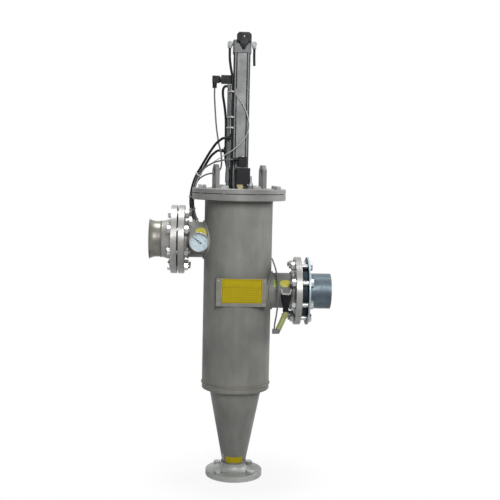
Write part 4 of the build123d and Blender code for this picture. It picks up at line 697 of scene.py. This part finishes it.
def saddlePath(side, height):
    # where the nozzle's wall runs into the shell's
    radius, shell = pipeRadius + bead["saddleOut"], bead["shellRadius"] + bead["saddleOut"]
    path = []
    for angle in turns(bead["points"]):
        y = radius * sin(angle)
        path.append(Vector((side * sqrt(shell * shell - y * y), y, height + radius * cos(angle))))
    return path


def footPath(side):
    # a rounded rectangle round the foot of a lug
    turn, corner = radians(bead["lugTurn"]), bead["lugCorner"]
    spanX, spanY = bead["lugHalfWidth"] - corner, bead["lugHalfDepth"] - corner
    path = []
    for signX, signY, first in ((1, 1, 0), (-1, 1, 90), (-1, -1, 180), (1, -1, 270)):
        for step in range(bead["cornerSteps"]):
            angle = radians(first + step * 90 / (bead["cornerSteps"] - 1))
            x = signX * spanX + corner * cos(angle)
            y = signY * spanY + corner * sin(angle)
            across = side * bead["lugX"] + (x * cos(turn) - y * sin(turn))
            along = side * bead["lugY"] + (x * sin(turn) + y * cos(turn))
            path.append(Vector((across, along, bead["lugHeight"])))
    return path


def makeBeads():
    paths = [ringPath(radius, (0, 0, height)) for radius, height in bead["vesselRings"]]
    paths += [saddlePath(-1, inletHeight), saddlePath(1, outletHeight)]
    paths += [ringPath(radius, (x, 0, height), True) for radius, x, height in bead["pipeRings"]]
    paths += [footPath(-1), footPath(1)]
    verts, edges = [], []
    for path in paths:
        first = len(verts)
        verts += [place * mm for place in path]
        edges += [(first + step, first + (step + 1) % len(path)) for step in range(len(path))]
    mesh = bpy.data.meshes.new("weldLines")
    mesh.from_pydata(verts, edges, [])
    sizes = {
        "Width": bead["width"] * mm, "Ripple": bead["ripple"] * mm, "Depth": bead["depth"],
        "Step": bead["step"] * mm,
    }
    addPiece("weldBeads", beadTree.grow("weldBeads", mesh, sizes), "weld", sharp=60.0)


makeBeads()
print("weld beads made")

# pressure gauge: rolled bezel, scale, numbers, a coloured band and the needle's hub
gauge = {
    "x": -125.3, "z": 772.4, "dialFront": -92.0, "inkLift": 0.1,
    "bezelRadius": 29.6, "bezelThick": 1.5, "bezelOut": 101.9, "bezelSteps": 14, "bezelSides": 72,
    "firstAngle": 225.0, "sweep": 270.0, "tickRadius": 24.6, "tickThick": 0.25,
    "ticks": ((11, 3.6, 0.75), (51, 1.9, 0.35)),
    "numberRadius": 18.2, "numberSize": 5.2, "numberThick": 0.12, "highest": 10,
    "bandInner": 26.3, "bandOuter": 27.9, "bandThick": 0.2, "bandFrom": 0.3, "bandTo": 0.72, "bandSteps": 28,
    "hub": ((3.0, 94.6), (3.4, 95.0), (3.4, 96.0), (2.9, 96.6), (1.2, 96.8)), "hubSides": 28,
}
faceFront = Matrix.Translation((gauge["x"], 0, gauge["z"])) @ Matrix.Rotation(pi / 2, 4, "X")


def dialAngle(share):
    return radians(gauge["firstAngle"] - gauge["sweep"] * share)


def onDial(radius, angle, lift):
    return gauge["x"] + radius * cos(angle), gauge["dialFront"] - lift, gauge["z"] + radius * sin(angle)


def makeBezel():
    shape = bmesh.new()
    rows = []
    thick = gauge["bezelThick"]
    for angle in turns(gauge["bezelSteps"]):
        rows.append((gauge["bezelRadius"] + thick * cos(angle), gauge["bezelOut"] + thick * sin(angle)))
    lathe(shape, rows, gauge["bezelSides"], closed=True)
    addPiece("gaugeBezel", asMesh("gaugeBezel", shape, faceFront), "gaugeCase", sharp=60.0)


def makeScale():
    centre = Vector((gauge["x"], gauge["dialFront"] - gauge["inkLift"], gauge["z"])) * mm
    shape = bmesh.new()
    for count, length, width in gauge["ticks"]:
        shape.from_mesh(tickTree.grow("ticks", bpy.data.meshes.new("tickStart"), {
            "Count": count, "Radius": (gauge["tickRadius"] - length / 2) * mm, "Length": length * mm,
            "Width": width * mm, "Thick": gauge["tickThick"] * mm, "First": dialAngle(0),
            "Sweep": radians(gauge["sweep"]), "Centre": centre,
        }))
    bmesh.ops.scale(shape, vec=(1 / mm, 1 / mm, 1 / mm), verts=shape.verts)
    for value in range(0, gauge["highest"] + 1, 2):
        figure = bpy.data.curves.new("figure", "FONT")
        figure.body = str(value)
        figure.size = gauge["numberSize"]
        figure.extrude = gauge["numberThick"]
        figure.align_x = "CENTER"
        figure.align_y = "CENTER"
        figure.resolution_u = 3
        carrier = addObject("figure", figure)
        plain = asSeen(carrier)
        place = onDial(gauge["numberRadius"], dialAngle(value / gauge["highest"]), gauge["inkLift"])
        plain.transform(Matrix.Translation(place) @ Matrix.Rotation(pi / 2, 4, "X"))
        shape.from_mesh(plain)
        bpy.data.objects.remove(carrier)
        bpy.data.meshes.remove(plain)
    addPiece("gaugeScale", asMesh("gaugeScale", shape), "ink")


def makeBand():
    shape = bmesh.new()
    inner, outer, thick = gauge["bandInner"], gauge["bandOuter"], gauge["bandThick"]
    rings = []
    for step in range(gauge["bandSteps"] + 1):
        share = gauge["bandFrom"] + (gauge["bandTo"] - gauge["bandFrom"]) * step / gauge["bandSteps"]
        corners = ((inner, 0.0), (outer, 0.0), (outer, thick), (inner, thick))
        rings.append([shape.verts.new(onDial(radius, dialAngle(share), lift)) for radius, lift in corners])
    for one, other in zip(rings, rings[1:]):
        for side in range(4):
            after = (side + 1) % 4
            shape.faces.new((one[side], one[after], other[after], other[side]))
    shape.faces.new(rings[0])
    shape.faces.new(reversed(rings[-1]))
    addPiece("gaugeBand", asMesh("gaugeBand", shape), "bandGreen")


def makeHub():
    shape = bmesh.new()
    lathe(shape, gauge["hub"], gauge["hubSides"])
    addPiece("needleHub", asMesh("needleHub", shape, faceFront), "screw", body="needle")


makeBezel()
makeScale()
makeBand()
makeHub()
print("gauge made")

# labels: bare, bent round what they are stuck to, with angles in degrees from straight ahead
# low and high are heights on the cone, and angles on a pipe
label = {"thick": 0.3, "sunk": 0.4, "cells": 18}
cone = {"foot": 45.0, "footRadius": 38.05, "widening": 46.1, "rise": 241.0, "lean": 0.19}
coneLabels = {
    "coneLabel": {"angle": -1.0, "half": 41.0, "low": 47.5, "high": 68.0, "finish": "yellow"},
    "coneSticker": {"angle": -60.0, "half": 8.0, "low": 52.0, "high": 73.0, "finish": "sticker"},
}
pipeLabels = {
    "inletLabel": {"x": -119.0, "half": 19.0, "low": 14.0, "high": 45.0, "height": inletHeight,
                   "finish": "paleYellow", "oval": True},
    "outletLabel": {"x": 152.0, "half": 17.5, "low": 18.0, "high": 43.0, "height": outletHeight,
                    "finish": "paleYellow", "oval": True},
    "outletMark": {"x": 119.5, "half": 5.0, "low": 18.0, "high": 42.0, "height": outletHeight,
                   "finish": "bandGreen", "oval": False},
}


def bentLabel(name, spot, finishName, oval):
    # spot gives the surface and its outward direction for two numbers from -1 to 1
    shape = bmesh.new()
    cells = label["cells"]
    layers = []
    for lift in (-label["sunk"], label["thick"]):
        grid = []
        for row in range(cells + 1):
            line = []
            for column in range(cells + 1):
                u, v = 2 * column / cells - 1, 2 * row / cells - 1
                if oval:
                    u, v = u * sqrt(1 - v * v / 2), v * sqrt(1 - u * u / 2)
                place, out = spot(u, v)
                line.append(shape.verts.new(place + out * lift))
            grid.append(line)
        layers.append(grid)
    for grid in layers:
        for row in range(cells):
            for column in range(cells):
                near, far = grid[row], grid[row + 1]
                shape.faces.new((near[column], near[column + 1], far[column + 1], far[column]))
    low, high = layers
    for step in range(cells):
        for a, b in (((0, step), (0, step + 1)), ((cells, step), (cells, step + 1)),
                     ((step, 0), (step + 1, 0)), ((step, cells), (step + 1, cells))):
            shape.faces.new((low[a[0]][a[1]], low[b[0]][b[1]], high[b[0]][b[1]], high[a[0]][a[1]]))
    addPiece(name, asMesh(name, shape), finishName)


def partWay(one, v):
    # from low to high while v goes from -1 to 1
    return (one["low"] + one["high"]) / 2 + (one["high"] - one["low"]) / 2 * v


def onPipe(one):
    def spot(u, v):
        angle = radians(partWay(one, v))
        out = Vector((0, -cos(angle), sin(angle)))
        return Vector((one["x"] + one["half"] * u, 0, one["height"])) + out * pipeRadius, out
    return spot


def onCone(one):
    def spot(u, v):
        angle = radians(one["angle"] + one["half"] * u)
        height = partWay(one, v)
        radius = cone["footRadius"] + (height - cone["foot"]) * cone["widening"] / cone["rise"]
        out = Vector((sin(angle), -cos(angle), -cone["lean"])).normalized()
        return Vector((radius * sin(angle), -radius * cos(angle), height)), out
    return spot


for labelName, one in coneLabels.items():
    bentLabel(labelName, onCone(one), one["finish"], False)
for labelName, one in pipeLabels.items():
    bentLabel(labelName, onPipe(one), one["finish"], one["oval"])

# name plate: raised edge, an empty heading field and ruled lines, with a rivet at each corner
plate = {
    "left": -52.0, "right": 75.0, "low": 584.0, "high": 660.0, "front": -113.65, "proud": 0.18, "keyed": 0.1,
    "inset": 2.6, "line": 0.7, "headLine": 0.56, "thinLine": 0.385, "heading": 25.0, "rules": 5,
    "wordsIn": 7.0, "wordsWide": 26.0, "fieldIn": 40.0, "fieldShort": 48.0,
    "rivetX": (-62.0, 81.0), "rivetZ": (581.0, 654.0), "rivetRadius": 2.3, "rivetSides": 20,
    "rivetShape": ((0.8, -0.6), (1.0, 0), (0.92, 0.5), (0.65, 0.95), (0.25, 1.15)),
}


def makePlateLines():
    shape = bmesh.new()
    left, right = plate["left"] + plate["inset"], plate["right"] - plate["inset"]
    low, high, line = plate["low"] + plate["inset"], plate["high"] - plate["inset"], plate["line"]
    depth = plate["front"] - plate["proud"]

    def bar(x, z, width, height):
        slab(shape, (x, depth, z), (width, plate["proud"] + plate["keyed"], height))

    bar(left, low, right - left, line)
    bar(left, high - line, right - left, line)
    bar(left, low, line, high - low)
    bar(right - line, low, line, high - low)
    bar(left, high - plate["heading"], right - left, plate["headLine"])
    gap = (high - plate["heading"] - low) / (plate["rules"] + 1)
    for row in range(plate["rules"]):
        z = low + gap * (row + 1)
        bar(left + plate["wordsIn"], z, plate["wordsWide"], plate["thinLine"])
        bar(left + plate["fieldIn"], z, right - left - plate["fieldShort"], plate["thinLine"])
    addPiece("plateLines", asMesh("plateLines", shape), "ink")


def makePlateRivets():
    shape = bmesh.new()
    profile = [(plate["rivetRadius"] * share, level) for share, level in plate["rivetShape"]]
    lathe(shape, profile, plate["rivetSides"])
    rows = []
    for x in plate["rivetX"]:
        for z in plate["rivetZ"]:
            rows.append((onSurface("plate_holder", (x, -200, z), (0, 1, 0)), (0, -1, 0)))
    standOn("plateRivets", asMesh("rivet", shape), rows, "screw", sharp=50.0)


makePlateLines()
makePlateRivets()
print("labels and name plate made")

# small hardware: cable tie heads, the plug's seal, pan head screws and the box's lid seal
trim = {
    "tieBox": ((-2.4, -2.6, -0.8), (4.8, 5.2, 3.6)), "tieTail": ((-1.2, -2.2, 2.4), (2.4, 1.1, 9.0)),
    "plugSeal": ((-7.4, -69.1, 1005.5), (28.4, 28.2, 1.3)),
    "panRadius": 3.0, "panHeight": 1.9, "panSides": 24, "panLoose": 1.5, "panSeed": 4,
    "panShape": ((1.0, 0.0), (1.0, 0.45), (0.86, 0.85), (0.6, 1.0), (0.45, 0.62), (0.12, 0.5)),
    "panRoot": (0.9, -0.8), "plugScrew": (6.8, -55.0, 1200), "switchScrew": (5.0, -120.0, 1416.5),
    "boxScrewX": (-54.0, 54.0), "boxScrewZ": (568.0, 682.0), "boxBack": 200.0,
    "sealCorner": (-62.25, 180.0, 559.75), "sealSize": (124.5, 1.2, 130.5), "sealStrip": 0.8,
}


def panScrew(name):
    # a pan head with a round dish in its top
    shape = bmesh.new()
    radius, height = trim["panRadius"], trim["panHeight"]
    rows = [(radius * trim["panRoot"][0], trim["panRoot"][1])]
    rows += [(radius * across, height * up) for across, up in trim["panShape"]]
    lathe(shape, rows, trim["panSides"])
    return asMesh(name, shape)


def islandsOf(node):
    # the separate solids of a CAD node, as lists of points in millimetres
    shape = bmesh.new()
    shape.from_mesh(cadNodes[node].data)
    bmesh.ops.remove_doubles(shape, verts=shape.verts, dist=1e-6)
    reached, found = set(), []
    for first in shape.verts:
        if first in reached:
            continue
        reached.add(first)
        queue, island = [first], []
        while queue:
            vert = queue.pop()
            island.append(vert.co / mm)
            for edge in vert.link_edges:
                other = edge.other_vert(vert)
                if other not in reached:
                    reached.add(other)
                    queue.append(other)
        found.append(island)
    shape.free()
    return sorted(found, key=lambda island: (round(island[0].z), round(island[0].x)))


def makeTieHeads():
    shape = bmesh.new()
    slab(shape, *trim["tieBox"])
    slab(shape, *trim["tieTail"])
    rows = []
    for island in islandsOf("cable_ties"):
        centre = sum(island, Vector()) / len(island)
        # the head sits where the loop is nearest to the front left
        front = min(island, key=lambda place: (round(place.y + 0.5 * place.x, 2), round(place.z, 1)))
        aim = Vector((front.x - centre.x, front.y - centre.y, 0.0))
        rows.append((Vector((front.x, front.y, centre.z)), aim))
    standOn("tieHeads", asMesh("tieHead", shape), rows, "tie")


def makePlugSeal():
    shape = bmesh.new()
    slab(shape, *trim["plugSeal"])
    addPiece("plugSeal", asMesh("plugSeal", shape), "paleLead")


def makePanScrews():
    rows = [
        (onSurface("vent_plug", trim["plugScrew"], (0, 0, -1)), (0, 0, 1)),
        (onSurface("end_switch", trim["switchScrew"], (0, 1, 0)), (0, -1, 0)),
    ]
    for x in trim["boxScrewX"]:
        for z in trim["boxScrewZ"]:
            rows.append((Vector((x, trim["boxBack"], z)), (0, 1, 0)))
    standOn("panScrews", panScrew("panScrew"), rows, "screw",
            loose=trim["panLoose"], seed=trim["panSeed"], sharp=40.0)


def makeBoxSeal():
    shape = bmesh.new()
    left, front, low = trim["sealCorner"]
    wide, depth, tall = trim["sealSize"]
    strip = trim["sealStrip"]
    for x in (left, left + wide - strip):
        slab(shape, (x, front, low), (strip, depth, tall))
    for z in (low, low + tall - strip):
        slab(shape, (left, front, z), (wide, depth, strip))
    addPiece("boxSeal", asMesh("boxSeal", shape), "gasket")


makeTieHeads()
makePlugSeal()
makePanScrews()
makeBoxSeal()
print("small hardware made")

# stage, light and camera, in metres, watts and degrees
studio = {
    "floorSize": 14.0, "backgroundLevel": 1.0, "floorGlow": 0.90, "shadowFrom": 0.15, "shadowReach": 0.34,
    "skyLevel": 0.05,
}
# a lamp aims at a height on the filter's axis, and its grid is the angle its light spreads over
lamps = {
    "keyLight": {"place": (0.3, -3.0, 2.1), "aim": 0.9, "size": (0.6, 1.4), "power": 9.6, "grid": 60},
    "fillLight": {"place": (2.6, 0.8, 1.8), "aim": 0.95, "size": (0.6, 1.2), "power": 5.2, "grid": 50},
    "rimLight": {"place": (1.4, 2.4, 2.0), "aim": 0.8, "size": (1.4, 1.8), "power": 9.0, "grid": 180},
    "topLight": {"place": (-0.3, 0.4, 3.2), "aim": 0.95, "size": (1.2, 1.2), "power": 9.2, "grid": 60},
}
view = {"place": (-0.098, -2.948, 0.995), "azimuth": -2.66, "pitch": 4.9, "roll": 1.25, "lens": 65.88}


def seenStraight(graph):
    # 1 for rays from the camera and for those that come by a mirror or through glass
    path = graph.node("ShaderNodeLightPath")
    seen = Wire(graph, path.outputs["Is Camera Ray"])
    for kind in ("Is Glossy Ray", "Is Transmission Ray"):
        seen = seen.most(Wire(graph, path.outputs[kind]))
    return seen


def makeFloor():
    # white to the camera and to reflections, but for the object's shadow close to it
    f = Finish("paleFloor")
    grain = f.noise(f.place(), 3.0, 2.0)
    f.set(colour=f.blend(grain, tone(214, 214, 214), tone(222, 222, 222)), rough=0.9, spec=0.1)
    x, y = f.split(f.place())[:2]
    reach = (x * x + y * y).root()
    away = reach.ramp(studio["shadowFrom"], studio["shadowReach"], studio["floorGlow"], 1.0)
    seen = seenStraight(f)
    glow = f.node("ShaderNodeEmission", {}, {"Color": (1, 1, 1, 1), "Strength": 1.0})
    mixed = f.node("ShaderNodeMixShader", {}, {0: seen * away, 1: f.shader.outputs[0], 2: glow.outputs[0]})
    f.plug(f.tree.nodes["Material Output"].inputs["Surface"], mixed.outputs[0])
    half = studio["floorSize"] / 2
    mesh = bpy.data.meshes.new("floor")
    corners = [(-half, -half, 0), (half, -half, 0), (half, half, 0), (-half, half, 0)]
    mesh.from_pydata(corners, [], [(0, 1, 2, 3)])
    mesh.materials.append(f.material)
    floor = addObject("floor", mesh)


def makeSky():
    # a faint sky lights the object, and white stands behind it
    world = bpy.data.worlds.new("studio")
    bpy.context.scene.world = world
    world.use_nodes = True
    graph = Graph()
    graph.tree = world.node_tree
    sky = graph.tree.nodes["Background"]
    graph.plug(sky.inputs["Color"], tone(236, 240, 246))
    graph.plug(sky.inputs["Strength"], studio["skyLevel"])
    behind = {"Color": (1, 1, 1, 1), "Strength": studio["backgroundLevel"]}
    white = graph.node("ShaderNodeBackground", {}, behind)
    both = {0: seenStraight(graph), 1: sky.outputs[0], 2: white.outputs[0]}
    mix = graph.node("ShaderNodeMixShader", {}, both)
    graph.plug(graph.tree.nodes["World Output"].inputs["Surface"], mix.outputs[0])


def makeLamp(name, lamp):
    light = bpy.data.lights.new(name, "AREA")
    light.shape = "RECTANGLE"
    light.size, light.size_y = lamp["size"]
    light.energy = lamp["power"]
    light.spread = radians(lamp["grid"])
    box = addObject(name, light)
    box.location = lamp["place"]
    box.rotation_mode = "QUATERNION"
    box.rotation_quaternion = (Vector((0, 0, lamp["aim"])) - Vector(lamp["place"])).to_track_quat("-Z", "Y")


def makeCamera():
    turn, down, lean = radians(view["azimuth"]), radians(view["pitch"]), radians(view["roll"])
    ahead = Vector((-sin(turn) * cos(down), cos(turn) * cos(down), -sin(down)))
    right = Vector((cos(turn), sin(turn), 0))
    up = right.cross(ahead)
    right, up = right * cos(lean) + up * sin(lean), up * cos(lean) - right * sin(lean)
    data = bpy.data.cameras.new("camera")
    data.lens = view["lens"]
    data.sensor_width = 36.0
    data.clip_start, data.clip_end = 0.05, 60.0
    camera = addObject("camera", data)
    turnBy = Matrix((right, up, -ahead)).transposed().to_4x4()
    camera.matrix_world = Matrix.Translation(Vector(view["place"])) @ turnBy
    bpy.context.scene.camera = camera


makeFloor()
makeSky()
for lampName, lamp in lamps.items():
    makeLamp(lampName, lamp)
makeCamera()
bpy.context.scene.view_settings.view_transform = "Standard"
print("stage, light and camera ready")
